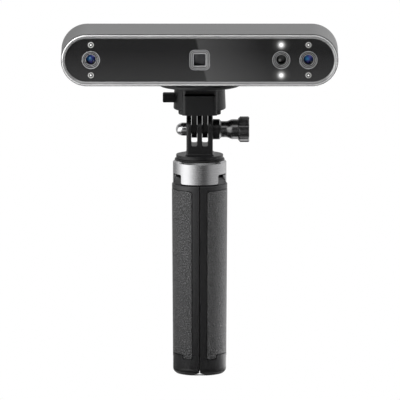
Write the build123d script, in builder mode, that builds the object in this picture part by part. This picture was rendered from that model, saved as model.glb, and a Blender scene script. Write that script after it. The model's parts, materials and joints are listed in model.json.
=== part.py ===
from build123d import *
from math import atan2, cos, degrees, hypot, radians, sin, sqrt
import os

# A handheld three-d scanner: a head with two infrared cameras, a colour camera and a projector, on a
# quick-release plate, a tilting three-finger mount and a grip that opens into a small tripod.
# Millimetres. The origin is on the floor under the middle of the grip, +Z is up, the front faces -Y.

# Clearances shared by many pieces
fixed_fit = 0.05
running_fit = 0.05
slide_fit = 0.15
button_fit = 0.2

# Legs, pads and feet of the grip
leg_height = 106.1
leg_top_radius = 15.3
leg_bottom_radius = 14.65
leg_core_radius = 5.0
leg_split = 0.4
leg_edge_round = 0.5
foot_height = 3.6
foot_round = 2.8
foot_split_width = 4.2
foot_split_height = 1.9
pad_bottom = 11.6
pad_top_margin = 2.9
pad_depth = 1.2
pad_edge_width = 4.4
pad_groove = 0.3
pad_corner = 1.0
pad_top_corner = 2.0
pad_tongue_width = 5.8
pad_tongue_drop = 2.3

# Leg hinges under the collar
leg_gap = 0.7
pin_radius = 0.9
pin_length = 9.6
pin_circle = 11.5
pin_rise = 2.4
knuckle_radius = 1.9
knuckle_width = 7.2
knuckle_root = 2.5
block_reach = 2.5
block_rise = 0.5
block_edge = 0.6
ledge_reach = 3.1
hinge_clearance = 0.15

# Collar, hub, cap and stud
collar_radius = 14.8
collar_wall = 1.4
collar_height = 12.2
collar_edge = 1.0
notch_height = 5.2
notch_angle = 32.0
notch_corner = 1.0
hub_lift = 0.2
hub_slot_depth = 4.9
hub_slot_headroom = 1.6
cap_radius = 13.8
cap_height = 1.05
stud_radius = 2.5
stud_sink = 9.0
stud_reach = 5.5

# Fork adapter and its clamp screw
turn_gap = 0.05
flange_radius = 13.0
flange_height = 2.0
stem_flare = 1.0
pivot_rise = 13.9
fork_width = 14.6
fork_radius = 8.2
fork_round = 1.2
fork_slot = 3.25
fork_slot_drop = 8.4
fork_slot_round = 0.8
boss_radius = 5.6
boss_reach = 3.8
shaft_radius = 2.5
nut_radius = 4.2
nut_sink = 1.0
nut_cap_radius = 3.7
nut_cap_length = 2.1
nut_thread = 4.2
knob_gap = 0.1
knob_collar_radius = 5.2
knob_neck_radius = 4.5
knob_neck_start = 0.7
knob_neck_end = 3.4
knob_flare_radius = 5.5
knob_flare_start = 7.1
knob_flare_end = 10.0
knob_radius = 7.1
knob_length = 6.2
knob_lobes = 8
knob_flute_radius = 1.4
knob_flute_depth = 0.8
knob_bore = 12.6
knob_edge = 0.5
knob_shoulder = 1.2

# Quick-release receiver
tongue_length = 9.3
tongue_radius = 4.7
tongue_side_gap = 0.12
base_radius = 11.75
base_height = 2.2
base_corner = 3.0
base_round = 0.9
receiver_radius = 14.5
receiver_height = 12.8
receiver_taper = 2.4
receiver_round = 0.8
nose_width = 19.4
nose_reach = 12.5
nose_wall = 2.3
nose_corner = 2.2
channel_width = 17.2
channel_mouth = 13.5
channel_depth = 4.2
channel_back = 10.0
receiver_screw_spacing = 15.6
receiver_screw_radius = 1.0
receiver_screw_head = 1.9
receiver_screw_head_height = 1.1
receiver_screw_sink = 0.2
receiver_screw_length = 5.0
latch_reach = 5.9
latch_inset = 3.2
latch_depth = 8.0
latch_height = 4.6
latch_rise = 6.3
latch_travel = 2.0
latch_gap = 0.2
latch_stop = 0.3
spring_radius = 1.4
spring_wire = 0.35
spring_turns = 5
spring_room = 0.4
spring_depth = 4.2
spring_drop = 0.5
spring_end_gap = 0.05

# Release plate under the head
plate_gap = 0.2
plate_radius = 22.5
plate_thickness = 2.1
plate_edge = 0.4
plate_pad_thickness = 0.5
plate_pad_margin = 0.6
plate_foot_length = 17.0
plate_screw_radius = 3.0
plate_screw_head = 4.4
plate_screw_head_height = 2.2
plate_screw_sink = 0.2
plate_screw_slot = 1.4
plate_screw_slot_depth = 1.0

# Head shell, bezel, glass and rear cover
head_width = 153.0
head_depth = 45.0
head_height = 29.0
head_wall = 1.8
bezel_depth = 2.5
bezel_lip = 2.5
bezel_ridge = 0.7
bezel_inner_edge = 0.9
bezel_side = 2.35
bezel_band = 2.7
glass_thickness = 1.2
glass_ledge = 1.2
cover_thickness = 3.0
cover_round = 2.6
cover_lip = 2.0
cover_lip_wall = 1.2
insert_radius = 4.5
insert_height = 5.4
insert_flange_radius = 7.0
insert_flange_height = 1.5

# Optics behind the glass
camera_margin = 14.15
camera_pitch = 15.0
chassis_thickness = 3.0
baffle_rim = 0.5
baffle_throat = 0.5
baffle_steps = 3
barrel_radius = 4.0
barrel_length = 8.5
barrel_flange_radius = 5.3
barrel_flange_height = 1.5
lens_radius = 2.6
lens_thickness = 1.9
lens_edge = 1.1
lens_sink = 0.2
camera_board_width = 11.0
camera_board_height = 14.0
camera_board_thickness = 1.2
led_margin = 3.35
led_gap = 1.45
led_radius = 2.0
led_dome = 0.8
projector_width = 11.3
projector_height = 11.4
projector_corner = 2.7
projector_window = 6.4
projector_steps = 3
projector_lens_radius = 4.4
projector_lens_length = 7.0
projector_lens_dome = 0.6
projector_housing_width = 17.0
projector_housing_height = 16.0
projector_housing_gap = 7.5

# Electronics, rear buttons and fasteners
post_inset = 5.7
post_radius = 2.8
rear_screw_radius = 1.0
rear_screw_head = 1.9
rear_screw_head_height = 1.2
rear_screw_sink = 0.2
rear_screw_length = 8.0
main_board_side = 18.7
main_board_edge = 3.2
main_board_thickness = 1.6
board_boss_length = 6.9
board_boss_radius = 2.2
board_boss_side = 8.0
board_boss_edge = 3.0
board_screw_radius = 0.9
board_screw_head = 1.7
board_screw_head_height = 1.1
board_screw_length = 5.5
chip_height = 1.5
chip_sizes = ((-26.0, 14.0, 14.0), (-4.0, 10.0, 12.0), (20.0, 16.0, 9.0))
usb_shift = 3.0
usb_width = 8.94
usb_height = 3.26
usb_wall = 0.3
usb_depth = 6.5
usb_tongue_width = 6.7
usb_tongue_height = 0.7
usb_tongue_length = 4.5
usb_sink = 0.3
start_button_radius = 5.0
brightness_button_radius = 3.2
brightness_button_x = 14.0
button_sink = 0.1
button_flange = 0.9
button_flange_thickness = 1.1
button_flange_gap = 0.1
button_travel = 0.4
button_stop = 0.1
button_stem_radius = 1.5
switch_size = 5.0
switch_height = 3.5
switch_plunger_radius = 1.2
switch_plunger_height = 0.5
light_inset = 2.45
light_radius = 0.9
light_flange_radius = 1.5
light_flange_thickness = 1.0
light_length = 8.5
light_sink = 0.1

# Heights, from the floor up
pad_top = leg_height - pad_top_margin
pin_z = leg_height + pin_rise
collar_bottom = leg_height + leg_gap
collar_top = collar_bottom + collar_height
hub_bottom = collar_bottom + hub_lift
cap_top = collar_top + cap_height
flange_bottom = cap_top + turn_gap
flange_top = flange_bottom + flange_height
pivot_z = flange_top + pivot_rise
slot_floor = pivot_z - fork_slot_drop
base_bottom = pivot_z + tongue_length
base_top = base_bottom + base_height
receiver_top = base_top + receiver_height
channel_floor = receiver_top - channel_depth
latch_z = base_top + latch_rise
spring_z = latch_z - spring_drop
plate_bottom = receiver_top + plate_gap
plate_top = plate_bottom + plate_thickness
head_bottom = plate_top + plate_pad_thickness
head_middle = head_bottom + head_height / 2

# Depths through the head, from the front to the back
front_y = -head_depth / 2
bezel_back = front_y + bezel_depth
glass_front = bezel_back - glass_thickness
chassis_front = bezel_back + bezel_lip
chassis_back = chassis_front + chassis_thickness
back_y = head_depth / 2
cover_inner = back_y - cover_thickness
board_back = cover_inner - board_boss_length
board_front = board_back - main_board_thickness

# Outlines worked out from the sizes above
cavity_width = head_width - 2 * head_wall
cavity_height = head_height - 2 * head_wall
lip_width = cavity_width - 2 * fixed_fit
lip_height = cavity_height - 2 * fixed_fit
glass_width = head_width - 2 * bezel_side
glass_height = head_height - 2 * bezel_band
camera_x = glass_width / 2 - camera_margin
colour_camera_x = camera_x - camera_pitch
led_rise = glass_height / 2 - led_margin
baffle_radius = led_rise - led_radius - led_gap
post_x = cavity_width / 2 - post_inset
main_board_width = cavity_width - 2 * main_board_side
main_board_height = cavity_height - 2 * main_board_edge
board_boss_x = main_board_width / 2 - board_boss_side
board_boss_z = main_board_height / 2 - board_boss_edge
usb_x = (board_boss_x + brightness_button_x) / 2 + usb_shift
light_rise = lip_height / 2 - cover_lip_wall - light_inset
projector_housing_back = board_front - chip_height - projector_housing_gap
cameras = {"left_camera": -camera_x, "colour_camera": colour_camera_x, "right_camera": camera_x}
infrared_places = [(x, z) for x in (-camera_x, camera_x) for z in (-led_rise, led_rise)]
white_places = [(colour_camera_x, z) for z in (-led_rise, led_rise)]
button_places = {
    "start_button": (0.0, start_button_radius),
    "brightness_up_button": (brightness_button_x, brightness_button_radius),
    "brightness_down_button": (-brightness_button_x, brightness_button_radius),
}
leg_angles = (90.0, 210.0, 330.0)
leg_span = 120.0 - degrees(leg_split / leg_top_radius)
pad_span = 120.0 - 2 * degrees(pad_edge_width / leg_top_radius)
fork_finger = (fork_width - 2 * fork_slot) / 3
finger_pitch = fork_finger + fork_slot
channel_angle = degrees(atan2(channel_depth, (channel_width - channel_mouth) / 2))

os.makedirs("parts", exist_ok=True)


def facing(y, x=0.0, z=head_middle):
    """A plane across the head that looks to the front, so that extruding goes forward."""
    return Plane((x, y, z), x_dir=(1, 0, 0), z_dir=(0, -1, 0))


def lying(x, y, z):
    """A level plane with its own origin, for half sections that turn about a line along Y."""
    return Plane((x, y, z), x_dir=(1, 0, 0), z_dir=(0, 0, 1))


def outward(angle):
    """Level direction away from the grip's axis at the given angle."""
    return (cos(radians(angle)), sin(radians(angle)), 0)


def across(angle):
    """Level direction round the grip at the given angle."""
    return (-sin(radians(angle)), cos(radians(angle)), 0)


def upright(angle):
    """A plane through the grip's axis, with its first direction outward at the given angle."""
    return Plane((0, 0, 0), x_dir=outward(angle), z_dir=across(angle + 180))


def along_pin(angle):
    """An upright plane along the middle of a leg's hinge pin, with its first direction along the pin."""
    middle = Vector(*outward(angle)) * pin_circle + Vector(0, 0, pin_z)
    return Plane(middle, x_dir=across(angle), z_dir=outward(angle))


def leg_radius(z):
    """Outer radius of the tapered grip at a height."""
    return leg_bottom_radius + (leg_top_radius - leg_bottom_radius) * z / leg_height


def half_dome(plane, radius, edge, height):
    """Half section of a round piece with a flat back and a domed front."""
    with BuildSketch(plane, mode=Mode.PRIVATE) as section:
        with BuildLine():
            Polyline((0, -height), (0, 0), (radius, 0), (radius, -edge))
            TangentArc((0, -height), (radius, -edge), tangent=(1, 0))
        make_face()
    return section.sketch


def skin_section(angle, depth, low, high):
    """Section of the tapered grip's skin between two heights, on the plane at the given angle."""
    with BuildSketch(upright(angle), mode=Mode.PRIVATE) as section:
        with BuildLine():
            Polyline(
                (leg_radius(low) - depth, low),
                (leg_radius(low), low),
                (leg_radius(high), high),
                (leg_radius(high) - depth, high),
                close=True,
            )
        make_face()
    return section.sketch


def pad_form(angle, grow, depth):
    """A grip pad with its two lower tongues, grown all round for the pocket that holds it."""
    side = degrees(grow / leg_top_radius)
    span = pad_span + 2 * side
    gap_span = pad_span - 2 * degrees(pad_tongue_width / leg_top_radius) - 2 * side
    tongue_low = pad_bottom - pad_tongue_drop - grow
    with BuildPart() as form:
        revolve(
            skin_section(angle - span / 2, depth, tongue_low, pad_top + grow),
            axis=Axis.Z,
            revolution_arc=span,
        )
        with BuildSketch(upright(angle - gap_span / 2)):
            with Locations((leg_bottom_radius, tongue_low)):
                Rectangle(4 * pad_depth, 2 * pad_tongue_drop)
        revolve(axis=Axis.Z, revolution_arc=gap_span, mode=Mode.SUBTRACT)
        lines = form.edges().filter_by(GeomType.LINE)
        corners = lines.filter_by(lambda edge: edge.length < depth + fixed_fit)
        fillet(corners.filter_by_position(Axis.Z, tongue_low, pad_bottom), pad_corner)
        lines = form.edges().filter_by(GeomType.LINE)
        corners = lines.filter_by(lambda edge: edge.length < depth + fixed_fit)
        fillet(corners.filter_by_position(Axis.Z, pad_top, pad_top + grow), pad_top_corner)
    return form.part


# Grip: legs with their knuckles, pads and feet
tab_side = collar_radius * sin(radians(notch_angle / 2))
tab_corner_reach = collar_radius * cos(radians(notch_angle / 2)) - pin_circle
hinge_relief = hypot(tab_corner_reach, pin_rise - leg_gap) + hinge_clearance
far_reach = sqrt((pin_rise - hinge_clearance) ** 2 - (pin_rise - leg_gap) ** 2)
relief_side = sqrt(collar_radius**2 - (pin_circle + far_reach) ** 2)
block_top = pin_z + block_rise
block_bottom = pin_z - hinge_relief - knuckle_root

for number, angle in enumerate(leg_angles, start=1):
    pad_pocket = pad_form(angle, pad_groove, pad_depth)
    with BuildPart() as leg:
        with BuildSketch(upright(angle - leg_span / 2)):
            with BuildLine():
                Polyline(
                    (leg_core_radius, foot_height),
                    (leg_radius(foot_height), foot_height),
                    (leg_top_radius, leg_height),
                    (leg_core_radius, leg_height),
                    close=True,
                )
            make_face()
        revolve(axis=Axis.Z, revolution_arc=leg_span)
        rim = leg.edges().filter_by(GeomType.CIRCLE).group_by(Axis.Z)[-1].sort_by(SortBy.LENGTH)[-1]
        fillet(rim, leg_edge_round)
        add(pad_pocket, mode=Mode.SUBTRACT)
        with BuildSketch(along_pin(angle)):
            with BuildLine():
                Polyline(
                    (-relief_side, 0),
                    (-relief_side, pin_rise),
                    (-tab_side, hinge_relief),
                    (tab_side, hinge_relief),
                    (relief_side, pin_rise),
                    (relief_side, 0),
                    close=True,
                )
            make_face()
        revolve(axis=Axis(along_pin(angle).origin, across(angle)), mode=Mode.SUBTRACT)
        with BuildSketch(upright(angle)):
            with BuildLine():
                Polyline(
                    (pin_circle - knuckle_radius, block_bottom),
                    (pin_circle + knuckle_radius, block_bottom),
                    (pin_circle + ledge_reach, pin_z - hinge_relief),
                    (pin_circle + ledge_reach, leg_height),
                    (pin_circle + block_reach, leg_height),
                    (pin_circle + block_reach, block_top - block_edge),
                    (pin_circle + block_reach - block_edge, block_top),
                    (pin_circle - knuckle_radius, block_top),
                    close=True,
                )
            make_face()
            with Locations((pin_circle, pin_z)):
                Circle(knuckle_radius)
        extrude(amount=knuckle_width / 2, both=True)
        with BuildSketch(upright(angle)):
            with Locations((pin_circle, pin_z)):
                Circle(pin_radius + running_fit)
        extrude(amount=knuckle_width, both=True, mode=Mode.SUBTRACT)
    leg.part.label = f"leg_{number}"
    export_step(leg.part, f"parts/leg_{number}.step")

    pad_blank = pad_form(angle, 0.0, pad_depth - fixed_fit)
    with BuildPart() as grip_pad:
        add(pad_blank)
    grip_pad.part.label = f"grip_pad_{number}"
    export_step(grip_pad.part, f"parts/grip_pad_{number}.step")

    with BuildPart() as foot:
        with BuildSketch(upright(angle - leg_span / 2)):
            with BuildLine():
                Polyline(
                    (leg_core_radius, 0),
                    (leg_radius(0), 0),
                    (leg_radius(foot_height), foot_height),
                    (leg_core_radius, foot_height),
                    close=True,
                )
            make_face()
        revolve(axis=Axis.Z, revolution_arc=leg_span)
        sole = foot.faces().sort_by(Axis.Z)[0]
        fillet(sole.edges().filter_by(GeomType.CIRCLE).sort_by(SortBy.LENGTH)[-1], foot_round)
        for side in (-60.0, 60.0):
            with BuildSketch(Plane((0, 0, 0), x_dir=across(angle + side), z_dir=outward(angle + side))):
                with BuildLine():
                    Polyline(
                        (-foot_split_width, 0),
                        (foot_split_width, 0),
                        (0, foot_split_height),
                        close=True,
                    )
                make_face()
            extrude(amount=leg_top_radius, mode=Mode.SUBTRACT)
    foot.part.label = f"foot_{number}"
    export_step(foot.part, f"parts/foot_{number}.step")

# Hub: a core with three hinge slots, inside a notched collar
slot_width = knuckle_width + 2 * slide_fit
slot_top = pin_z + knuckle_radius + hub_slot_headroom
slot_reach = pin_circle + hub_slot_depth
slot_inner = pin_circle - hub_slot_depth / 2

with BuildPart() as hub_core:
    with BuildSketch(Plane.XY.offset(hub_bottom)):
        Circle(collar_radius - collar_wall - fixed_fit)
        Circle(stud_radius + fixed_fit, mode=Mode.SUBTRACT)
    extrude(amount=collar_top - hub_bottom)
    with BuildSketch(Plane.XY.offset(hub_bottom)):
        with PolarLocations((slot_inner + slot_reach) / 2, len(leg_angles), start_angle=leg_angles[0]):
            Rectangle(slot_reach - slot_inner, slot_width)
    extrude(amount=slot_top - hub_bottom, mode=Mode.SUBTRACT)
    for angle in leg_angles:
        with BuildSketch(upright(angle)):
            with Locations((pin_circle, pin_z)):
                Circle(pin_radius + fixed_fit)
        extrude(amount=pin_length / 2 + fixed_fit, both=True, mode=Mode.SUBTRACT)
hub_core.part.label = "hub_core"
export_step(hub_core.part, "parts/hub_core.step")

with BuildPart() as leg_pins:
    for angle in leg_angles:
        with BuildSketch(upright(angle)):
            with Locations((pin_circle, pin_z)):
                Circle(pin_radius)
        extrude(amount=pin_length / 2, both=True)
leg_pins.part.label = "leg_pins"
export_step(leg_pins.part, "parts/leg_pins.step")

with BuildPart() as collar:
    with BuildSketch(Plane.XY.offset(collar_bottom)):
        Circle(collar_radius)
        Circle(collar_radius - collar_wall, mode=Mode.SUBTRACT)
    extrude(amount=collar_height)
    rim = collar.edges().filter_by(GeomType.CIRCLE).group_by(Axis.Z)[-1].sort_by(SortBy.LENGTH)[-1]
    chamfer(rim, collar_edge)
    for angle in leg_angles:
        with BuildSketch(upright(angle - notch_angle / 2)):
            with Locations((collar_radius, collar_bottom)):
                Rectangle(4 * collar_wall, 2 * notch_height)
        revolve(axis=Axis.Z, revolution_arc=notch_angle, mode=Mode.SUBTRACT)
    wall_edges = collar.edges().filter_by(GeomType.LINE)
    fillet(wall_edges.filter_by(lambda edge: edge.length < notch_height - notch_corner), notch_corner)
collar.part.label = "collar"
export_step(collar.part, "parts/collar.step")

with BuildPart() as top_cap:
    with BuildSketch(Plane.XY.offset(collar_top)):
        Circle(cap_radius)
        Circle(stud_radius + fixed_fit, mode=Mode.SUBTRACT)
    extrude(amount=cap_height)
top_cap.part.label = "top_cap"
export_step(top_cap.part, "parts/top_cap.step")

with BuildPart() as stud:
    with BuildSketch(Plane.XY.offset(collar_top - stud_sink)):
        Circle(stud_radius)
    extrude(amount=stud_sink + cap_height + turn_gap + stud_reach)
stud.part.label = "stud"
export_step(stud.part, "parts/stud.step")

# Tilt: a three-finger fork with a captive nut and a clamp screw through the pivot
fork_side = fork_width / 2
nut_face = -fork_side + nut_sink
shaft_end = nut_face - nut_thread
knob_start = fork_side + boss_reach + knob_gap
flute_circle = knob_radius + knob_flute_radius - knob_flute_depth

with BuildPart() as fork_adapter:
    with BuildSketch(Plane.YZ):
        with Locations((0, pivot_z)):
            Circle(fork_radius)
            Rectangle(2 * fork_radius, pivot_z - flange_top, align=(Align.CENTER, Align.MAX))
    extrude(amount=fork_side, both=True)
    outline = fork_adapter.edges().filter_by_position(Axis.Z, flange_top + fork_round, pivot_z + fork_radius)
    fillet(outline.filter_by(Axis.X, reverse=True), fork_round)
    with BuildSketch(Plane.XY.offset(flange_bottom)):
        Circle(flange_radius)
    extrude(amount=flange_height)
    with BuildSketch(Plane.XY.offset(flange_top)):
        RectangleRounded(
            fork_width + 2 * stem_flare,
            2 * (fork_radius + stem_flare),
            fork_round + stem_flare,
        )
    extrude(amount=stem_flare, taper=45)
    with BuildSketch(Plane.XY.offset(slot_floor)):
        with GridLocations(finger_pitch, 0, 2, 1):
            Rectangle(fork_slot, 2 * fork_radius)
    extrude(amount=fork_slot_drop + fork_radius, mode=Mode.SUBTRACT)
    floors = fork_adapter.edges().filter_by(Axis.Y).filter_by_position(Axis.Z, slot_floor, slot_floor)
    fillet(floors, fork_slot_round)
    with BuildSketch(Plane.YZ.offset(fork_side)):
        with Locations((0, pivot_z)):
            Circle(boss_radius)
    extrude(amount=boss_reach)
    with BuildSketch(Plane.YZ.offset(-fork_side)):
        with Locations((0, pivot_z)):
            Circle(shaft_radius + running_fit)
    extrude(amount=fork_width + boss_reach, mode=Mode.SUBTRACT)
    with BuildSketch(Plane.YZ.offset(-fork_side)):
        with Locations((0, pivot_z)):
            RegularPolygon(nut_radius + fixed_fit, 6)
    extrude(amount=nut_sink, mode=Mode.SUBTRACT)
    with BuildSketch(Plane.XY.offset(flange_bottom)):
        Circle(stud_radius + running_fit)
    extrude(amount=stud_reach + running_fit, mode=Mode.SUBTRACT)
fork_adapter.part.label = "fork_adapter"
export_step(fork_adapter.part, "parts/fork_adapter.step")

with BuildPart() as clamp_nut:
    with BuildSketch(Plane.YZ.offset(-fork_side)):
        with Locations((0, pivot_z)):
            RegularPolygon(nut_radius, 6)
    extrude(amount=nut_sink)
    with BuildSketch(facing(0, -fork_side, pivot_z)):
        with BuildLine():
            Polyline((-nut_cap_length - nut_cap_radius, 0), (0, 0), (0, nut_cap_radius))
            Line((0, nut_cap_radius), (-nut_cap_length, nut_cap_radius))
            TangentArc(
                (-nut_cap_length, nut_cap_radius),
                (-nut_cap_length - nut_cap_radius, 0),
                tangent=(-1, 0),
            )
        make_face()
    revolve(axis=Axis((0, 0, pivot_z), (1, 0, 0)))
    with BuildSketch(Plane.YZ.offset(shaft_end - running_fit)):
        with Locations((0, pivot_z)):
            Circle(shaft_radius + running_fit)
    extrude(amount=nut_thread + running_fit, mode=Mode.SUBTRACT)
clamp_nut.part.label = "clamp_nut"
export_step(clamp_nut.part, "parts/clamp_nut.step")

with BuildPart() as thumbscrew_shaft:
    with BuildSketch(Plane.YZ.offset(shaft_end)):
        with Locations((0, pivot_z)):
            Circle(shaft_radius)
    extrude(amount=knob_start + knob_bore - fixed_fit - shaft_end)
thumbscrew_shaft.part.label = "thumbscrew_shaft"
export_step(thumbscrew_shaft.part, "parts/thumbscrew_shaft.step")

with BuildPart() as thumbscrew_knob:
    with BuildSketch(facing(0, knob_start, pivot_z)):
        with BuildLine():
            Polyline(
                (0, 0),
                (0, knob_collar_radius),
                (knob_neck_start, knob_neck_radius),
                (knob_neck_end, knob_neck_radius),
            )
            Spline(
                (knob_neck_end, knob_neck_radius),
                (knob_flare_start, knob_flare_radius),
                tangents=((1, 0), (1, 0)),
            )
            Polyline(
                (knob_flare_start, knob_flare_radius),
                (knob_flare_end, knob_flare_radius),
                (knob_flare_end, 0),
                (0, 0),
            )
        make_face()
    revolve(axis=Axis((0, 0, pivot_z), (1, 0, 0)))
    with BuildSketch(Plane.YZ.offset(knob_start + knob_flare_end)):
        with Locations((0, pivot_z)):
            Circle(knob_radius)
    extrude(amount=knob_length)
    rim = thumbscrew_knob.edges().filter_by(GeomType.CIRCLE).sort_by(SortBy.LENGTH)[-2:].sort_by(Axis.X)
    chamfer(rim[0], knob_shoulder)
    chamfer(rim[1], knob_edge)
    with BuildSketch(Plane.YZ.offset(knob_start + knob_flare_end)):
        with Locations((0, pivot_z)):
            with PolarLocations(flute_circle, knob_lobes, start_angle=180 / knob_lobes):
                Circle(knob_flute_radius)
    extrude(amount=knob_length, mode=Mode.SUBTRACT)
    with BuildSketch(Plane.YZ.offset(knob_start)):
        with Locations((0, pivot_z)):
            Circle(shaft_radius + fixed_fit)
    extrude(amount=knob_bore, mode=Mode.SUBTRACT)
thumbscrew_knob.part.label = "thumbscrew_knob"
export_step(thumbscrew_knob.part, "parts/thumbscrew_knob.step")

# Quick-release receiver on two tongue fingers
tongue_width = fork_slot - 2 * tongue_side_gap
screw_head_z = base_bottom + receiver_screw_sink
screw_neck_z = screw_head_z + receiver_screw_head_height
screw_tip_z = base_top + receiver_screw_length - slide_fit
latch_outer = -receiver_radius - latch_reach
latch_inner = -receiver_radius + latch_inset
latch_pocket = latch_inner + latch_travel + latch_stop
spring_end = latch_pocket + spring_depth

base_front = nose_wall + fixed_fit - nose_reach
with BuildPart() as receiver_base:
    with BuildSketch(Plane.XY.offset(base_bottom)) as base_outline:
        with BuildLine():
            Polyline(
                (-base_radius, 0),
                (-base_radius, base_front),
                (base_radius, base_front),
                (base_radius, 0),
            )
            ThreePointArc((base_radius, 0), (0, base_radius), (-base_radius, 0))
        make_face()
        fillet(base_outline.vertices().sort_by(Axis.Y)[:2], base_corner)
    extrude(amount=base_height)
    fillet(receiver_base.faces().sort_by(Axis.Z)[0].edges(), base_round)
    with BuildSketch(Plane.YZ):
        with Locations((0, pivot_z)):
            Circle(tongue_radius)
            Rectangle(2 * tongue_radius, tongue_length, align=(Align.CENTER, Align.MIN))
            Circle(shaft_radius + running_fit, mode=Mode.SUBTRACT)
    extrude(amount=finger_pitch / 2 + tongue_width / 2, both=True)
    with BuildSketch(Plane.XY.offset(base_bottom)):
        Rectangle(finger_pitch - tongue_width, 2 * tongue_radius)
    extrude(amount=-tongue_length - tongue_radius, mode=Mode.SUBTRACT)
    with BuildSketch(Plane.XY.offset(base_bottom)):
        with GridLocations(0, receiver_screw_spacing, 1, 2):
            Circle(receiver_screw_head + fixed_fit)
    extrude(amount=receiver_screw_sink + receiver_screw_head_height, mode=Mode.SUBTRACT)
    with BuildSketch(Plane.XY.offset(base_bottom)):
        with GridLocations(0, receiver_screw_spacing, 1, 2):
            Circle(receiver_screw_radius + fixed_fit)
    extrude(amount=base_height, mode=Mode.SUBTRACT)
receiver_base.part.label = "receiver_base"
export_step(receiver_base.part, "parts/receiver_base.step")

with BuildPart() as receiver_screws:
    with BuildSketch(Plane.XY.offset(screw_head_z)):
        with GridLocations(0, receiver_screw_spacing, 1, 2):
            Circle(receiver_screw_head)
    extrude(amount=receiver_screw_head_height)
    with BuildSketch(Plane.XY.offset(screw_neck_z)):
        with GridLocations(0, receiver_screw_spacing, 1, 2):
            Circle(receiver_screw_radius)
    extrude(amount=screw_tip_z - screw_neck_z)
receiver_screws.part.label = "receiver_screws"
export_step(receiver_screws.part, "parts/receiver_screws.step")

with BuildPart() as receiver_body:
    with BuildSketch(Plane.XY.offset(base_top)):
        Circle(receiver_radius)
    extrude(amount=receiver_height, taper=receiver_taper)
    fillet(receiver_body.faces().sort_by(Axis.Z)[0].edges(), receiver_round)
    with BuildSketch(Plane.XY.offset(base_top)):
        with Locations((0, -nose_reach)):
            Rectangle(2 * receiver_radius, receiver_radius, align=(Align.CENTER, Align.MAX))
    extrude(amount=receiver_height, mode=Mode.SUBTRACT)
    with BuildSketch(Plane.XY.offset(base_top)):
        with Locations((0, -nose_reach)):
            RectangleRounded(nose_width, nose_reach, nose_corner, align=(Align.CENTER, Align.MIN))
    extrude(amount=receiver_height)
    with BuildSketch(Plane.XY.offset(base_bottom)):
        with Locations((0, -nose_reach)):
            RectangleRounded(nose_width, nose_reach, nose_corner, align=(Align.CENTER, Align.MIN))
        with Locations((0, nose_wall - nose_reach)):
            Rectangle(nose_width, nose_reach, align=(Align.CENTER, Align.MIN), mode=Mode.SUBTRACT)
    extrude(amount=base_height)
    with BuildSketch(facing(channel_back, 0, channel_floor)):
        Trapezoid(channel_width, channel_depth, channel_angle, align=(Align.CENTER, Align.MIN))
    extrude(amount=channel_back + nose_reach, mode=Mode.SUBTRACT)
    with BuildSketch(Plane.YZ.offset(latch_pocket)):
        with Locations((0, latch_z)):
            Rectangle(latch_depth + 2 * latch_gap, latch_height + 2 * latch_gap)
    extrude(amount=-2 * receiver_radius, mode=Mode.SUBTRACT)
    with BuildSketch(Plane.YZ.offset(spring_end)):
        with Locations((0, spring_z)):
            Circle(spring_radius + spring_wire + spring_room)
    extrude(amount=-spring_depth, mode=Mode.SUBTRACT)
    with BuildSketch(Plane.XY.offset(base_top)):
        with GridLocations(0, receiver_screw_spacing, 1, 2):
            Circle(receiver_screw_radius + fixed_fit)
    extrude(amount=receiver_screw_length, mode=Mode.SUBTRACT)
receiver_body.part.label = "receiver_body"
export_step(receiver_body.part, "parts/receiver_body.step")

with BuildPart() as latch:
    with BuildSketch(Plane.YZ.offset(latch_outer)):
        with Locations((0, latch_z)):
            Rectangle(latch_depth, latch_height)
    extrude(amount=latch_inner - latch_outer)
    chamfer(latch.faces().sort_by(Axis.X)[0].edges(), plate_edge)
latch.part.label = "latch"
export_step(latch.part, "parts/latch.step")

spring_length = spring_end - latch_inner - 2 * (spring_wire + spring_end_gap)
with BuildPart() as latch_spring:
    with BuildLine() as coil:
        Helix(
            pitch=spring_length / spring_turns,
            height=spring_length,
            radius=spring_radius,
            center=(latch_inner + spring_wire + spring_end_gap, 0, spring_z),
            direction=(1, 0, 0),
        )
    with BuildSketch(Plane(origin=coil.line @ 0, z_dir=coil.line % 0)):
        Circle(spring_wire)
    sweep(path=coil.line, is_frenet=True)
latch_spring.part.label = "latch_spring"
export_step(latch_spring.part, "parts/latch_spring.step")

# Release plate: a disc with a dovetail foot, a rubber pad and a screw into the head
foot_floor = channel_floor + slide_fit
foot_rise = plate_bottom - foot_floor
foot_width = channel_width - 2 * slide_fit
foot_back = channel_back - slide_fit
screw_bottom = foot_floor + plate_screw_sink
screw_shoulder = screw_bottom + plate_screw_head_height

with BuildPart() as release_plate:
    with BuildSketch(Plane.XY.offset(plate_bottom)):
        Circle(plate_radius)
    extrude(amount=plate_thickness)
    rims = release_plate.edges().filter_by(GeomType.CIRCLE)
    chamfer(rims, plate_edge)
    with BuildSketch(facing(foot_back, 0, foot_floor)):
        Trapezoid(foot_width, foot_rise, channel_angle, align=(Align.CENTER, Align.MIN))
    extrude(amount=plate_foot_length)
    with BuildSketch(Plane.XY.offset(foot_floor)):
        Circle(plate_screw_head + fixed_fit)
    extrude(amount=plate_screw_sink + plate_screw_head_height, mode=Mode.SUBTRACT)
    with BuildSketch(Plane.XY.offset(foot_floor)):
        Circle(plate_screw_radius + fixed_fit)
    extrude(amount=foot_rise + plate_thickness, mode=Mode.SUBTRACT)
release_plate.part.label = "release_plate"
export_step(release_plate.part, "parts/release_plate.step")

with BuildPart() as plate_pad:
    with BuildSketch(Plane.XY.offset(plate_top)):
        Circle(plate_radius - plate_pad_margin)
        Circle(plate_screw_radius + fixed_fit, mode=Mode.SUBTRACT)
    extrude(amount=plate_pad_thickness)
plate_pad.part.label = "plate_pad"
export_step(plate_pad.part, "parts/plate_pad.step")

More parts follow.
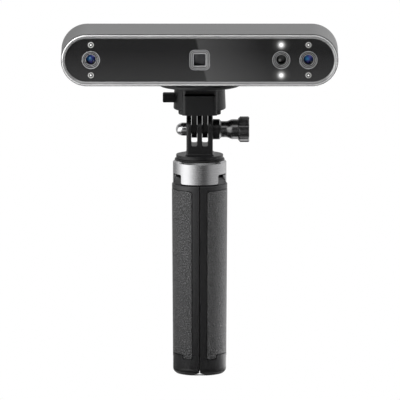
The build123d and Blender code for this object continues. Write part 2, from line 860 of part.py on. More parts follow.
with BuildPart() as plate_screw:
    with BuildSketch(Plane.XY.offset(screw_bottom)):
        Circle(plate_screw_head)
    extrude(amount=plate_screw_head_height)
    with BuildSketch(Plane.XY.offset(screw_shoulder)):
        Circle(plate_screw_radius)
    extrude(amount=head_bottom + insert_height - screw_shoulder)
    with BuildSketch(Plane.XY.offset(screw_bottom)):
        Rectangle(2 * plate_screw_head, plate_screw_slot)
    extrude(amount=plate_screw_slot_depth, mode=Mode.SUBTRACT)
plate_screw.part.label = "plate_screw"
export_step(plate_screw.part, "parts/plate_screw.step")

# Head: a tube shell closed by a bezel in front and a cover behind
with BuildPart() as head_shell:
    with BuildSketch(facing(cover_inner)):
        SlotOverall(head_width, head_height)
        SlotOverall(cavity_width, cavity_height, mode=Mode.SUBTRACT)
    extrude(amount=cover_inner - bezel_back)
    with BuildSketch(Plane.XY.offset(head_bottom)):
        Circle(insert_radius + fixed_fit)
    extrude(amount=2 * head_wall, mode=Mode.SUBTRACT)
head_shell.part.label = "head_shell"
export_step(head_shell.part, "parts/head_shell.step")

with BuildPart() as tripod_insert:
    with BuildSketch(Plane.XY.offset(head_bottom)):
        Circle(insert_radius)
    extrude(amount=insert_height)
    with BuildSketch(Plane.XY.offset(head_bottom + head_wall)):
        Circle(insert_flange_radius)
    extrude(amount=insert_flange_height)
    with BuildSketch(Plane.XY.offset(head_bottom)):
        Circle(plate_screw_radius + fixed_fit)
    extrude(amount=insert_height, mode=Mode.SUBTRACT)
tripod_insert.part.label = "tripod_insert"
export_step(tripod_insert.part, "parts/tripod_insert.step")

with BuildPart() as front_bezel:
    with BuildSketch(facing(bezel_back)):
        SlotOverall(head_width, head_height)
        SlotOverall(glass_width + 2 * fixed_fit, glass_height + 2 * fixed_fit, mode=Mode.SUBTRACT)
    extrude(amount=bezel_depth)
    face = front_bezel.faces().sort_by(Axis.Y)[0]
    chamfer(face.outer_wire().edges(), bezel_ridge)
    face = front_bezel.faces().sort_by(Axis.Y)[0]
    chamfer(face.inner_wires()[0].edges(), bezel_inner_edge)
    with BuildSketch(facing(chassis_front)):
        SlotOverall(lip_width, lip_height)
        SlotOverall(glass_width - 2 * glass_ledge, glass_height - 2 * glass_ledge, mode=Mode.SUBTRACT)
    extrude(amount=bezel_lip)
front_bezel.part.label = "front_bezel"
export_step(front_bezel.part, "parts/front_bezel.step")

with BuildPart() as front_glass:
    with BuildSketch(facing(bezel_back)):
        SlotOverall(glass_width, glass_height)
        with Locations(*[(x, 0) for x in cameras.values()]):
            Circle(baffle_radius + fixed_fit, mode=Mode.SUBTRACT)
        with Locations(*infrared_places, *white_places):
            Circle(led_radius + fixed_fit, mode=Mode.SUBTRACT)
        RectangleRounded(
            projector_width + 2 * fixed_fit,
            projector_height + 2 * fixed_fit,
            projector_corner + fixed_fit,
            mode=Mode.SUBTRACT,
        )
    extrude(amount=glass_thickness)
front_glass.part.label = "front_glass"
export_step(front_glass.part, "parts/front_glass.step")

with BuildPart() as optics_chassis:
    with BuildSketch(facing(chassis_back)):
        SlotOverall(lip_width, lip_height)
        with Locations(*[(x, 0) for x in cameras.values()]):
            Circle(barrel_radius + fixed_fit, mode=Mode.SUBTRACT)
        Circle(projector_lens_radius + fixed_fit, mode=Mode.SUBTRACT)
    extrude(amount=chassis_thickness)
    with BuildSketch(facing(cover_inner)):
        with GridLocations(2 * post_x, 0, 2, 1):
            Circle(post_radius)
    extrude(amount=cover_inner - chassis_back)
    with BuildSketch(facing(cover_inner)):
        with GridLocations(2 * post_x, 0, 2, 1):
            Circle(rear_screw_radius + fixed_fit)
    extrude(amount=rear_screw_length, mode=Mode.SUBTRACT)
optics_chassis.part.label = "optics_chassis"
export_step(optics_chassis.part, "parts/optics_chassis.step")

# Cameras: each a stepped baffle, a barrel, a lens and a board
baffle_depth = chassis_front - glass_front
rim_radius = baffle_radius - baffle_rim
throat_radius = lens_radius + baffle_throat
barrel_back = chassis_front + barrel_length
lens_back = chassis_front + lens_sink + lens_thickness

for camera, x in cameras.items():
    with BuildPart() as baffle:
        with BuildSketch(facing(chassis_front, x)):
            Circle(baffle_radius)
        extrude(amount=baffle_depth)
        for step in range(baffle_steps):
            reach = step / (baffle_steps - 1)
            with BuildSketch(facing(glass_front + baffle_depth * (1 - step / baffle_steps), x)):
                Circle(throat_radius + (rim_radius - throat_radius) * reach)
            extrude(amount=baffle_depth * (1 - step / baffle_steps), mode=Mode.SUBTRACT)
    baffle.part.label = f"{camera}_baffle"
    export_step(baffle.part, f"parts/{camera}_baffle.step")

    with BuildPart() as barrel:
        with BuildSketch(facing(barrel_back, x)):
            Circle(barrel_radius)
        extrude(amount=barrel_length)
        with BuildSketch(facing(chassis_back + barrel_flange_height, x)):
            Circle(barrel_flange_radius)
        extrude(amount=barrel_flange_height)
        with BuildSketch(facing(lens_back, x)):
            Circle(lens_radius + fixed_fit)
        extrude(amount=lens_thickness + lens_sink, mode=Mode.SUBTRACT)
    barrel.part.label = f"{camera}_barrel"
    export_step(barrel.part, f"parts/{camera}_barrel.step")

    with BuildPart() as lens:
        section = half_dome(lying(x, lens_back, head_middle), lens_radius, lens_edge, lens_thickness)
        revolve(section, axis=Axis((x, 0, head_middle), (0, 1, 0)))
    lens.part.label = f"{camera}_lens"
    export_step(lens.part, f"parts/{camera}_lens.step")

    with BuildPart() as board:
        with BuildSketch(facing(barrel_back + camera_board_thickness, x)):
            Rectangle(camera_board_width, camera_board_height)
        extrude(amount=camera_board_thickness)
    board.part.label = f"{camera}_board"
    export_step(board.part, f"parts/{camera}_board.step")

# Lamps: domed, seated on the chassis and filling their holes in the glass
led_length = chassis_front - glass_front + led_dome / 2

with BuildPart() as infrared_leds:
    for x, z in infrared_places:
        seat = lying(x, chassis_front, head_middle + z)
        section = half_dome(seat, led_radius, led_length - led_dome, led_length)
        revolve(section, axis=Axis((x, 0, head_middle + z), (0, 1, 0)))
infrared_leds.part.label = "infrared_leds"
export_step(infrared_leds.part, "parts/infrared_leds.step")

with BuildPart() as white_leds:
    for x, z in white_places:
        seat = lying(x, chassis_front, head_middle + z)
        section = half_dome(seat, led_radius, led_length - led_dome, led_length)
        revolve(section, axis=Axis((x, 0, head_middle + z), (0, 1, 0)))
white_leds.part.label = "white_leds"
export_step(white_leds.part, "parts/white_leds.step")

# Projector: a stepped square frame in the glass, a lens and its housing
projector_lens_back = chassis_front + projector_lens_length

with BuildPart() as projector_frame:
    with BuildSketch(facing(chassis_front)):
        RectangleRounded(projector_width, projector_height, projector_corner)
    extrude(amount=baffle_depth)
    for step in range(projector_steps):
        share = (step + 1) / (projector_steps + 1) if step else 0
        width = projector_window + (projector_width - projector_window) * share
        height = projector_window + (projector_height - projector_window) * share
        cut = baffle_depth * (1 - step / projector_steps)
        with BuildSketch(facing(glass_front + cut)):
            RectangleRounded(width, height, projector_corner / 2)
        extrude(amount=cut, mode=Mode.SUBTRACT)
projector_frame.part.label = "projector_frame"
export_step(projector_frame.part, "parts/projector_frame.step")

with BuildPart() as projector_lens:
    seat = lying(0, projector_lens_back, head_middle)
    edge = projector_lens_length - projector_lens_dome
    section = half_dome(seat, projector_lens_radius, edge, projector_lens_length)
    revolve(section, axis=Axis((0, 0, head_middle), (0, 1, 0)))
projector_lens.part.label = "projector_lens"
export_step(projector_lens.part, "parts/projector_lens.step")

with BuildPart() as projector_housing:
    with BuildSketch(facing(projector_housing_back)):
        Rectangle(projector_housing_width, projector_housing_height)
    extrude(amount=projector_housing_back - chassis_back)
    with BuildSketch(facing(projector_lens_back)):
        Circle(projector_lens_radius + fixed_fit)
    extrude(amount=projector_lens_back - chassis_back, mode=Mode.SUBTRACT)
projector_housing.part.label = "projector_housing"
export_step(projector_housing.part, "parts/projector_housing.step")

# Electronics on the rear cover's bosses
with BuildPart() as main_board:
    with BuildSketch(facing(board_back)):
        Rectangle(main_board_width, main_board_height)
        with GridLocations(2 * board_boss_x, 2 * board_boss_z, 2, 2):
            Circle(board_screw_radius + fixed_fit, mode=Mode.SUBTRACT)
    extrude(amount=main_board_thickness)
main_board.part.label = "main_board"
export_step(main_board.part, "parts/main_board.step")

with BuildPart() as board_chips:
    for x, width, height in chip_sizes:
        with BuildSketch(facing(board_front, x)):
            Rectangle(width, height)
        extrude(amount=chip_height)
board_chips.part.label = "board_chips"
export_step(board_chips.part, "parts/board_chips.step")

with BuildPart() as board_screws:
    with BuildSketch(facing(board_front)):
        with GridLocations(2 * board_boss_x, 2 * board_boss_z, 2, 2):
            Circle(board_screw_head)
    extrude(amount=board_screw_head_height)
    with BuildSketch(facing(board_front + board_screw_length)):
        with GridLocations(2 * board_boss_x, 2 * board_boss_z, 2, 2):
            Circle(board_screw_radius)
    extrude(amount=board_screw_length)
board_screws.part.label = "board_screws"
export_step(board_screws.part, "parts/board_screws.step")

with BuildPart() as usb_socket:
    with BuildSketch(facing(back_y - usb_sink, usb_x)):
        SlotOverall(usb_width, usb_height)
    extrude(amount=back_y - usb_sink - board_back)
    with BuildSketch(facing(back_y - usb_sink, usb_x)):
        SlotOverall(usb_width - 2 * usb_wall, usb_height - 2 * usb_wall)
    extrude(amount=usb_depth, mode=Mode.SUBTRACT)
    with BuildSketch(facing(back_y - usb_sink - usb_depth + usb_tongue_length, usb_x)):
        Rectangle(usb_tongue_width, usb_tongue_height)
    extrude(amount=usb_tongue_length)
usb_socket.part.label = "usb_socket"
export_step(usb_socket.part, "parts/usb_socket.step")

with BuildPart() as button_switches:
    for x, radius in button_places.values():
        with BuildSketch(facing(board_back + switch_height, x)):
            Rectangle(switch_size, switch_size)
        extrude(amount=switch_height)
        with BuildSketch(facing(board_back + switch_height + switch_plunger_height, x)):
            Circle(switch_plunger_radius)
        extrude(amount=switch_plunger_height)
button_switches.part.label = "button_switches"
export_step(button_switches.part, "parts/button_switches.step")

# Rear cover with its bosses, lip and openings
with BuildPart() as rear_cover:
    with BuildSketch(facing(back_y)):
        SlotOverall(head_width, head_height)
    extrude(amount=cover_thickness)
    fillet(rear_cover.faces().sort_by(Axis.Y)[-1].edges(), cover_round)
    with BuildSketch(facing(cover_inner)):
        SlotOverall(lip_width, lip_height)
        SlotOverall(lip_width - 2 * cover_lip_wall, lip_height - 2 * cover_lip_wall, mode=Mode.SUBTRACT)
    extrude(amount=cover_lip)
    with BuildSketch(facing(cover_inner)):
        with GridLocations(2 * board_boss_x, 2 * board_boss_z, 2, 2):
            Circle(board_boss_radius)
            Circle(board_screw_radius + fixed_fit, mode=Mode.SUBTRACT)
    extrude(amount=board_boss_length)
    with BuildSketch(facing(back_y)):
        with GridLocations(2 * post_x, 0, 2, 1):
            Circle(rear_screw_head + fixed_fit)
    extrude(amount=rear_screw_sink + rear_screw_head_height, mode=Mode.SUBTRACT)
    with BuildSketch(facing(back_y)):
        with GridLocations(2 * post_x, 0, 2, 1):
            Circle(rear_screw_radius + fixed_fit)
        with Locations((usb_x, 0)):
            SlotOverall(usb_width + 2 * fixed_fit, usb_height + 2 * fixed_fit)
        with Locations((0, light_rise)):
            Circle(light_radius + fixed_fit)
        for x, radius in button_places.values():
            with Locations((x, 0)):
                Circle(radius + button_fit)
    extrude(amount=cover_thickness, mode=Mode.SUBTRACT)
rear_cover.part.label = "rear_cover"
export_step(rear_cover.part, "parts/rear_cover.step")

with BuildPart() as rear_screws:
    with BuildSketch(facing(back_y - rear_screw_sink)):
        with GridLocations(2 * post_x, 0, 2, 1):
            Circle(rear_screw_head)
    extrude(amount=rear_screw_head_height)
    with BuildSketch(facing(back_y - rear_screw_sink)):
        with GridLocations(2 * post_x, 0, 2, 1):
            Circle(rear_screw_radius)
    extrude(amount=rear_screw_length)
rear_screws.part.label = "rear_screws"
export_step(rear_screws.part, "parts/rear_screws.step")

with BuildPart() as status_light:
    with BuildSketch(facing(back_y - light_sink, 0, head_middle + light_rise)):
        Circle(light_radius)
    extrude(amount=light_length)
    with BuildSketch(facing(cover_inner, 0, head_middle + light_rise)):
        Circle(light_flange_radius)
    extrude(amount=light_flange_thickness)
status_light.part.label = "status_light"
export_step(status_light.part, "parts/status_light.step")

# Buttons: a cap in the cover's hole, a flange behind it and a stem over its switch
switch_top = board_back + switch_height + switch_plunger_height
stem_tip = switch_top + button_travel + button_stop
flange_face = cover_inner - button_flange_gap

for button, (x, radius) in button_places.items():
    with BuildPart() as push_button:
        with BuildSketch(facing(back_y - button_sink, x)):
            Circle(radius)
        extrude(amount=back_y - button_sink - flange_face)
        with BuildSketch(facing(flange_face, x)):
            Circle(radius + button_flange)
        extrude(amount=button_flange_thickness)
        with BuildSketch(facing(flange_face, x)):
            Circle(button_stem_radius)
        extrude(amount=flange_face - stem_tip)
    push_button.part.label = button
    export_step(push_button.part, f"parts/{button}.step")
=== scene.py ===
import json
from math import cos, pi, radians, sin

import bmesh
import bpy
from mathutils import Matrix, Vector

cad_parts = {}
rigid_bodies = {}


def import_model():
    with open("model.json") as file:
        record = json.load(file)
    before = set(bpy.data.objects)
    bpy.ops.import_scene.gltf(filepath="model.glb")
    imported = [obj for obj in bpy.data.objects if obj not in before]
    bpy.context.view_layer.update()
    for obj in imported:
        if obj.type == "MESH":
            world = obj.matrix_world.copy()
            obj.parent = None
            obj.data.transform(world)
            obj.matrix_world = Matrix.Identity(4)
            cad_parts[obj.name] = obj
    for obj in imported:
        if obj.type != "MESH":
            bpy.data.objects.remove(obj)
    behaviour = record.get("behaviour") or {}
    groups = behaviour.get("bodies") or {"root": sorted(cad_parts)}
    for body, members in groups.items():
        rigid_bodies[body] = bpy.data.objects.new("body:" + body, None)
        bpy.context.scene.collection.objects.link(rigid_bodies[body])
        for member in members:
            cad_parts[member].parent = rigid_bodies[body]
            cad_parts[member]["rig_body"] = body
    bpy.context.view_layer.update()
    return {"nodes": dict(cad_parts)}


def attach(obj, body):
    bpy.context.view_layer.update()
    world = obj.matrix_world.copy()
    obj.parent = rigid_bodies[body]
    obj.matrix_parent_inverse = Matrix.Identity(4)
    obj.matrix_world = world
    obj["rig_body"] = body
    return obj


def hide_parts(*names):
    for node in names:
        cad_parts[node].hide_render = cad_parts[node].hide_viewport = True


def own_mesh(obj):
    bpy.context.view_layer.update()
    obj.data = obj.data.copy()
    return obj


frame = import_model()
nodes = frame["nodes"]
mm = 0.001


# Hub core: the hidden hinge block of the grip, with a slot for each leg's knuckle.
# Moulded from glass-filled black nylon, a dull surface with a faint flow mottle.
# The solids of the frame are kept, and only take this finish.
def link(tree, *pairs):
    """Join pairs of sockets in a node tree."""
    for start, end in pairs:
        tree.links.new(start, end)


def added(tree, kind, values):
    """A new node in a tree, with values for its inputs given by name or number."""
    node = tree.nodes.new(kind)
    for place, value in values.items():
        node.inputs[place].default_value = value
    return node


def found(tree, kind):
    """The first node of a kind in a tree."""
    return next(node for node in tree.nodes if node.type == kind)


def colour_mix(tree, first, second):
    """A node that blends two colours."""
    blend = tree.nodes.new("ShaderNodeMix")
    blend.data_type = "RGBA"
    blend.inputs["A"].default_value = (*first, 1.0)
    blend.inputs["B"].default_value = (*second, 1.0)
    return blend


def bare(name, values):
    """A new material with its node tree and its surface, which takes the values given."""
    material = bpy.data.materials.new(name)
    material.use_nodes = True
    body = material.node_tree.nodes["Principled BSDF"]
    for place, value in values.items():
        body.inputs[place].default_value = value
    return material, material.node_tree, body


def moulded(name, colour, shade, rough, grain, bump, metal=0.0, specular=0.5, spread=0.08):
    """A solid-coloured finish with a fine grain: colour, roughness and relief all follow the grain."""
    material, tree, body = bare(name, {"Metallic": metal, "Specular IOR Level": specular})
    cloud_to_grain = 12
    grain_depth = 0.05 * mm
    place = tree.nodes.new("ShaderNodeTexCoord")
    cloud = added(tree, "ShaderNodeTexNoise", {"Scale": grain / cloud_to_grain, "Detail": 3.0})
    speck = added(tree, "ShaderNodeTexNoise", {"Scale": grain, "Detail": 4.0})
    tint = colour_mix(tree, colour, shade)
    gloss = added(tree, "ShaderNodeMapRange", {
        "From Min": 0.3, "From Max": 0.7, "To Min": rough - spread, "To Max": rough + spread,
    })
    relief = added(tree, "ShaderNodeBump", {"Strength": bump, "Distance": grain_depth})
    link(
        tree,
        (place.outputs["Object"], cloud.inputs["Vector"]),
        (place.outputs["Object"], speck.inputs["Vector"]),
        (cloud.outputs["Fac"], tint.inputs["Factor"]),
        (speck.outputs["Fac"], gloss.inputs["Value"]),
        (speck.outputs["Fac"], relief.inputs["Height"]),
        (tint.outputs["Result"], body.inputs["Base Color"]),
        (gloss.outputs["Result"], body.inputs["Roughness"]),
        (relief.outputs["Normal"], body.inputs["Normal"]),
    )
    return material


def dress(material, *names):
    """Give a finish to solids of the frame that keep their own shape."""
    for name in names:
        for place in nodes[name].material_slots:
            place.material = material


hub_nylon = moulded("hub_nylon", (0.016, 0.016, 0.017), (0.026, 0.026, 0.027), 0.55, 1800, 0.25)
dress(hub_nylon, "hub_core")


# Stud and leg pins: turned steel rods pressed into the hub, the stud standing up for the fork.
# Bare steel, with the fine satin grain that the turning tool leaves.
turned_steel = moulded(
    "turned_steel", (0.56, 0.55, 0.53), (0.42, 0.41, 0.40), 0.30, 5200, 0.35, metal=1.0, spread=0.06
)
dress(turned_steel, "stud", "leg_pins")


# Collar: a satin silver sleeve over the hub, notched above each leg, cut from aluminium tube.
# Its skin is brushed round the axis and lightly polished.
def brushed(name, colour, shade, rough, stretch, lines, bump):
    """Metal with fine lines: the grain is squeezed across the lines and stretched along them."""
    material = moulded(name, colour, shade, rough, 1.0, bump, metal=1.0, spread=0.05)
    tree = material.node_tree
    place = found(tree, "TEX_COORD")
    turn = added(tree, "ShaderNodeMapping", {"Scale": [lines * part for part in stretch]})
    link(tree, (place.outputs["Object"], turn.inputs["Vector"]))
    for target in [item for item in tree.nodes if item.type == "TEX_NOISE"]:
        target.inputs["Scale"].default_value = 1.0
        link(tree, (turn.outputs["Vector"], target.inputs["Vector"]))
    return material


collar_silver = brushed(
    "collar_silver", (0.645, 0.645, 0.655), (0.625, 0.625, 0.635), 0.24, (0.015, 0.015, 1.0), 9000, 0.001
)
dress(collar_silver, "collar")


# Top cap: a black ring that closes the hub and carries the fork's flange.
# Moulded with a satin face, its outer rim rolled over softly.
def placed(name, data):
    """A new object in the scene, made from a mesh, a lamp or a camera."""
    thing = bpy.data.objects.new(name, data)
    bpy.context.scene.collection.objects.link(thing)
    return thing


def rounded(name, node, material, edge, steps=2):
    """A copy of a solid with its corners merged and its sharp edges rolled over, shown in its place."""
    same_point = 0.001 * mm
    same_plane = radians(0.6)
    sharp_edge = radians(32)
    mesh = nodes[node].data.copy()
    form = bmesh.new()
    form.from_mesh(mesh)
    bmesh.ops.remove_doubles(form, verts=form.verts, dist=same_point)
    bmesh.ops.dissolve_limit(form, angle_limit=same_plane, verts=form.verts, edges=form.edges)
    form.to_mesh(mesh)
    form.free()
    if "custom_normal" in mesh.attributes:
        mesh.attributes.remove(mesh.attributes["custom_normal"])
    mesh.shade_smooth()
    piece = placed(name, mesh)
    roll = piece.modifiers.new("rolled edge", "BEVEL")
    roll.width = edge
    roll.segments = steps
    roll.limit_method = "ANGLE"
    roll.angle_limit = sharp_edge
    roll.miter_outer = "MITER_ARC"
    flat = piece.modifiers.new("flat faces", "WEIGHTED_NORMAL")
    flat.keep_sharp = True
    view = bpy.context.evaluated_depsgraph_get()
    piece.data = bpy.data.meshes.new_from_object(piece.evaluated_get(view))
    piece.modifiers.clear()
    piece.data.materials.clear()
    piece.data.materials.append(material)
    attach(piece, nodes[node]["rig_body"])
    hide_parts(node)


mount_black = (0.004, 0.004, 0.0043)
mount_grey = (0.007, 0.007, 0.0074)
cap_black = moulded("cap_black", mount_black, mount_grey, 0.30, 2600, 0.10, specular=0.35)
rounded("hub_cap", "top_cap", cap_black, 0.7 * mm, steps=4)


# Legs: three tapered shells that close into a round grip, each hinged on a pin under the collar.
# Moulded in dark grey plastic with a satin skin; a shallow pocket on each takes the rubber pad.
leg_grey = moulded("leg_grey", (0.006, 0.006, 0.0065), (0.009, 0.009, 0.0095), 0.34, 2400, 0.06, specular=0.7)
dress(leg_grey, "leg_1", "leg_2", "leg_3")


# Grip pads: soft rubber skins glued in the legs' pockets, with two short tongues at the lower end.
# Pressed with a leather grain, softly crowned, their edges rolled down into the groove around them.
# Each one is laid out flat, cut, rolled at the edge, and then wrapped on the tapered leg.
pad_colour = (0.034, 0.034, 0.035)
# Painted shade: the creases of the grain take this darker colour.
pad_crease_shade = (0.016, 0.016, 0.0165)
pad_radius = 15.3
pad_degrees = 87.05
pad_half = radians(pad_degrees / 2) * pad_radius
pad_low, pad_seat, pad_high = 9.3, 11.6, 103.2
pad_tongue = 5.8
pad_thick = 1.1
pad_roll = 0.45
pad_crown = 0.14
leg_low_radius, leg_high_radius, leg_length = 14.65, 15.3, 106.1


def leather(name):
    """Rubber with a pebbled leather grain: creases between small cells, painted darker as crease shade, and a
    finer wrinkle on top.
    """
    material = moulded(name, pad_crease_shade, pad_colour, 0.43, 2600, 0.2, specular=0.85)
    tree = material.node_tree
    body = tree.nodes["Principled BSDF"]
    place, fine, tint = found(tree, "TEX_COORD"), found(tree, "BUMP"), found(tree, "MIX")
    cells = added(tree, "ShaderNodeTexVoronoi", {"Scale": 740})
    cells.feature = "DISTANCE_TO_EDGE"
    wander = added(tree, "ShaderNodeTexNoise", {"Scale": 420})
    bend = tree.nodes.new("ShaderNodeMix")
    bend.data_type = "VECTOR"
    bend.inputs["Factor"].default_value = 0.0012
    depth = added(tree, "ShaderNodeMapRange", {"From Max": 0.22})
    pebble = added(tree, "ShaderNodeBump", {"Strength": 1.0, "Distance": 0.22 * mm})
    link(
        tree,
        (place.outputs["Object"], wander.inputs["Vector"]),
        (place.outputs["Object"], bend.inputs["A"]),
        (wander.outputs["Color"], bend.inputs["B"]),
        (bend.outputs["Result"], cells.inputs["Vector"]),
        (cells.outputs["Distance"], depth.inputs["Value"]),
        (depth.outputs["Result"], pebble.inputs["Height"]),
        (depth.outputs["Result"], tint.inputs["Factor"]),
        (fine.outputs["Normal"], pebble.inputs["Normal"]),
        (pebble.outputs["Normal"], body.inputs["Normal"]),
    )
    return material


def rounded_outline(corners, steps=6):
    """Points round a flat outline: each corner gives its place and the radius it is turned with."""
    points = []
    count = len(corners)
    for index in range(count):
        here = Vector(corners[index][:2])
        before = (Vector(corners[index - 1][:2]) - here).normalized()
        after = (Vector(corners[(index + 1) % count][:2]) - here).normalized()
        radius = corners[index][2]
        centre = here + (before + after) * radius
        for step in range(steps + 1):
            turn = step / steps * pi / 2
            points.append(centre - after * radius * cos(turn) - before * radius * sin(turn))
    return points


def wrap(flat, angle):
    """A point of the flat pad set on the leg: across is round the grip, along is up, and lift is outward."""
    across, along, lift = flat
    crown = pad_crown * max(0.0, cos(across / pad_half * pi / 2)) if lift > -pad_roll else 0.0
    radius = leg_low_radius + (leg_high_radius - leg_low_radius) * along / leg_length + lift + crown
    turn = angle + across / pad_radius
    return Vector((radius * cos(turn), radius * sin(turn), along)) * mm


def closed_piece(form, name, crease):
    """A finished form as a smooth piece that faces outwards, sharp where it turns by more than the crease."""
    bmesh.ops.recalc_face_normals(form, faces=form.faces)
    mesh = bpy.data.meshes.new(name)
    form.to_mesh(mesh)
    form.free()
    mesh.shade_smooth()
    mesh.set_sharp_from_angle(angle=radians(crease))
    return placed(name, mesh)


def grip_pad(name, angle):
    """One pad as a closed mesh: back, side walls, rolled edge and crowned face."""
    inner = pad_half - pad_tongue
    small, large = 1.0, 2.0
    side_cuts, rows = 11, 12
    corners = [
        (-pad_half, pad_low, small), (-inner, pad_low, small),
        (-inner, pad_seat, small), (inner, pad_seat, small),
        (inner, pad_low, small), (pad_half, pad_low, small),
        (pad_half, pad_high, large), (-pad_half, pad_high, large),
    ]
    form = bmesh.new()
    ring = [form.verts.new((*point, -pad_thick)) for point in rounded_outline(corners)]
    back = form.faces.new(ring)
    top = bmesh.ops.extrude_face_region(form, geom=[back], use_keep_orig=True)["geom"]
    face = next(item for item in top if isinstance(item, bmesh.types.BMFace))
    for corner in face.verts:
        corner.co.z = -pad_roll
    reach = 0.0
    for turn in (25, 50, 72, 90):
        inset = pad_roll * (1 - cos(radians(turn)))
        bmesh.ops.inset_region(form, faces=[face], thickness=inset - reach, use_even_offset=True)
        reach = inset
        for corner in face.verts:
            corner.co.z = pad_roll * sin(radians(turn)) - pad_roll
    for cut in range(-side_cuts, side_cuts + 1):
        everything = form.verts[:] + form.edges[:] + form.faces[:]
        bmesh.ops.bisect_plane(form, geom=everything, plane_co=(cut, 0, 0), plane_no=(1, 0, 0))
    for cut in range(1, rows):
        everything = form.verts[:] + form.edges[:] + form.faces[:]
        height = pad_seat + (pad_high - pad_seat) * cut / rows
        bmesh.ops.bisect_plane(form, geom=everything, plane_co=(0, height, 0), plane_no=(0, 1, 0))
    for corner in form.verts:
        corner.co = wrap(corner.co, angle)
    return closed_piece(form, name, 50)


pad_leather = leather("pad_leather")
for number, degrees_round in ((1, 90), (2, 210), (3, 330)):
    pad = grip_pad(f"leather_pad_{number}", radians(degrees_round))
    pad.data.materials.append(pad_leather)
    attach(pad, f"leg_{number}")
    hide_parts(f"grip_pad_{number}")


# Feet: rubber shoes under the legs, moulded on, with a rolled outer edge and cut-back corners.
# Satin black rubber, painted near-black and duller towards the sole as painted shade of the underside.
foot_rubber = moulded("foot_rubber", (0.006, 0.006, 0.006), (0.010, 0.010, 0.010), 0.40, 1500, 0.1)
foot_tree = foot_rubber.node_tree
foot_body = foot_tree.nodes["Principled BSDF"]
foot_tint = found(foot_tree, "MIX")
foot_height = foot_tree.nodes.new("ShaderNodeSeparateXYZ")
# Painted shade: below the sole band the colour fades to near-black and the shine drops, standing in for the
# shaded underside.
sole_low, sole_high = 1.1 * mm, 1.7 * mm
sole = added(foot_tree, "ShaderNodeMapRange", {
    "From Min": sole_low, "From Max": sole_high, "To Min": 0.03, "To Max": 0.65,
})
sole_shade_black = (0.002, 0.002, 0.002)
sole_painted_shade = colour_mix(foot_tree, sole_shade_black, sole_shade_black)
link(
    foot_tree,
    (found(foot_tree, "TEX_COORD").outputs["Object"], foot_height.inputs["Vector"]),
    (foot_height.outputs["Z"], sole.inputs["Value"]),
    (sole.outputs["Result"], sole_painted_shade.inputs["Factor"]),
    (foot_tint.outputs["Result"], sole_painted_shade.inputs["B"]),
    (sole_painted_shade.outputs["Result"], foot_body.inputs["Base Color"]),
    (sole.outputs["Result"], foot_body.inputs["Specular IOR Level"]),
)
for number in (1, 2, 3):
    rounded(f"rubber_foot_{number}", f"foot_{number}", foot_rubber, 0.12 * mm)


# Fork adapter: three upright fingers on a round flange, screwed on the stud so that the head pans.
# Injection moulded in black nylon with a fine spark-eroded skin and soft edges.
mount_nylon = moulded("mount_nylon", mount_black, mount_grey, 0.30, 2800, 0.08, specular=0.42)
rounded("three_finger_fork", "fork_adapter", mount_nylon, 0.25 * mm, steps=3)


# Clamp nut: a chrome-plated cap nut held in the fork's hexagonal pocket.
# Plated mirror-bright, with a slight orange-peel under the chrome.
nut_chrome = moulded(
    "nut_chrome", (0.80, 0.80, 0.81), (0.78, 0.78, 0.79), 0.16, 900, 0.002, metal=1.0, spread=0.02
)
dress(nut_chrome, "clamp_nut")


# Thumbscrew: a steel bolt moulded into a black knob with eight grip lobes.
# The knob is polished hard plastic, so its flare and flutes carry sharp highlights.
dress(turned_steel, "thumbscrew_shaft")
knob_gloss = moulded("knob_gloss", mount_black, mount_grey, 0.22, 1600, 0.02, specular=1.0, spread=0.03)
knob_gloss.node_tree.nodes["Principled BSDF"].inputs["IOR"].default_value = 1.8
dress(knob_gloss, "thumbscrew_knob")


# Receiver: a round cup on two tongue fingers that tilts in the fork, with a dovetail across its top.
# Two moulded nylon halves pulled together by two steel screws from below.
rounded("tongue_base", "receiver_base", mount_nylon, 0.2 * mm, steps=3)
rounded("dovetail_cup", "receiver_body", mount_nylon, 0.18 * mm, steps=3)
dress(turned_steel, "receiver_screws")


# Latch: a crisp black push bar at the left of the receiver, held out by a small steel spring.
# Moulded in plastic a little duller than the cup.
latch_black = moulded("latch_black", mount_black, mount_grey, 0.5, 2400, 0.06, specular=0.12)
rounded("push_latch", "latch", latch_black, 0.15 * mm)
spring = placed("coil_spring", nodes["latch_spring"].data.copy())
spring.data.materials.clear()
spring.data.materials.append(turned_steel)
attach(spring, nodes["latch_spring"]["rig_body"])
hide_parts("latch_spring")
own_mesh(spring)


# Release plate: the round plate under the head, with the dovetail foot that slides in the receiver.
# Moulded nylon like the receiver, screwed to the head with a slotted steel screw.
rounded("round_plate", "release_plate", mount_nylon, 0.25 * mm, steps=3)
dress(turned_steel, "plate_screw")


# Plate pad: a thin ring of soft rubber between the plate and the head, so the head doesn't slip.
# Cut from sheet, dull, with a fine pebble and its edges eased.
pad_rubber = moulded(
    "pad_rubber", (0.020, 0.020, 0.021), (0.030, 0.030, 0.031), 0.66, 1700, 0.5, specular=0.3
)
rounded("rubber_ring", "plate_pad", pad_rubber, 0.12 * mm, steps=3)


# Head shell: a round-ended aluminium tube, extruded, bead blasted and anodised grey.
# Fine even grain from the blasting, a slightly cooler tone in the cloudy variation.
shell_grey = moulded(
    "shell_grey", (0.182, 0.182, 0.182), (0.166, 0.166, 0.169), 0.42, 5200, 0.22, metal=0.85, spread=0.05
)
dress(shell_grey, "head_shell")
head_middle = 177.6
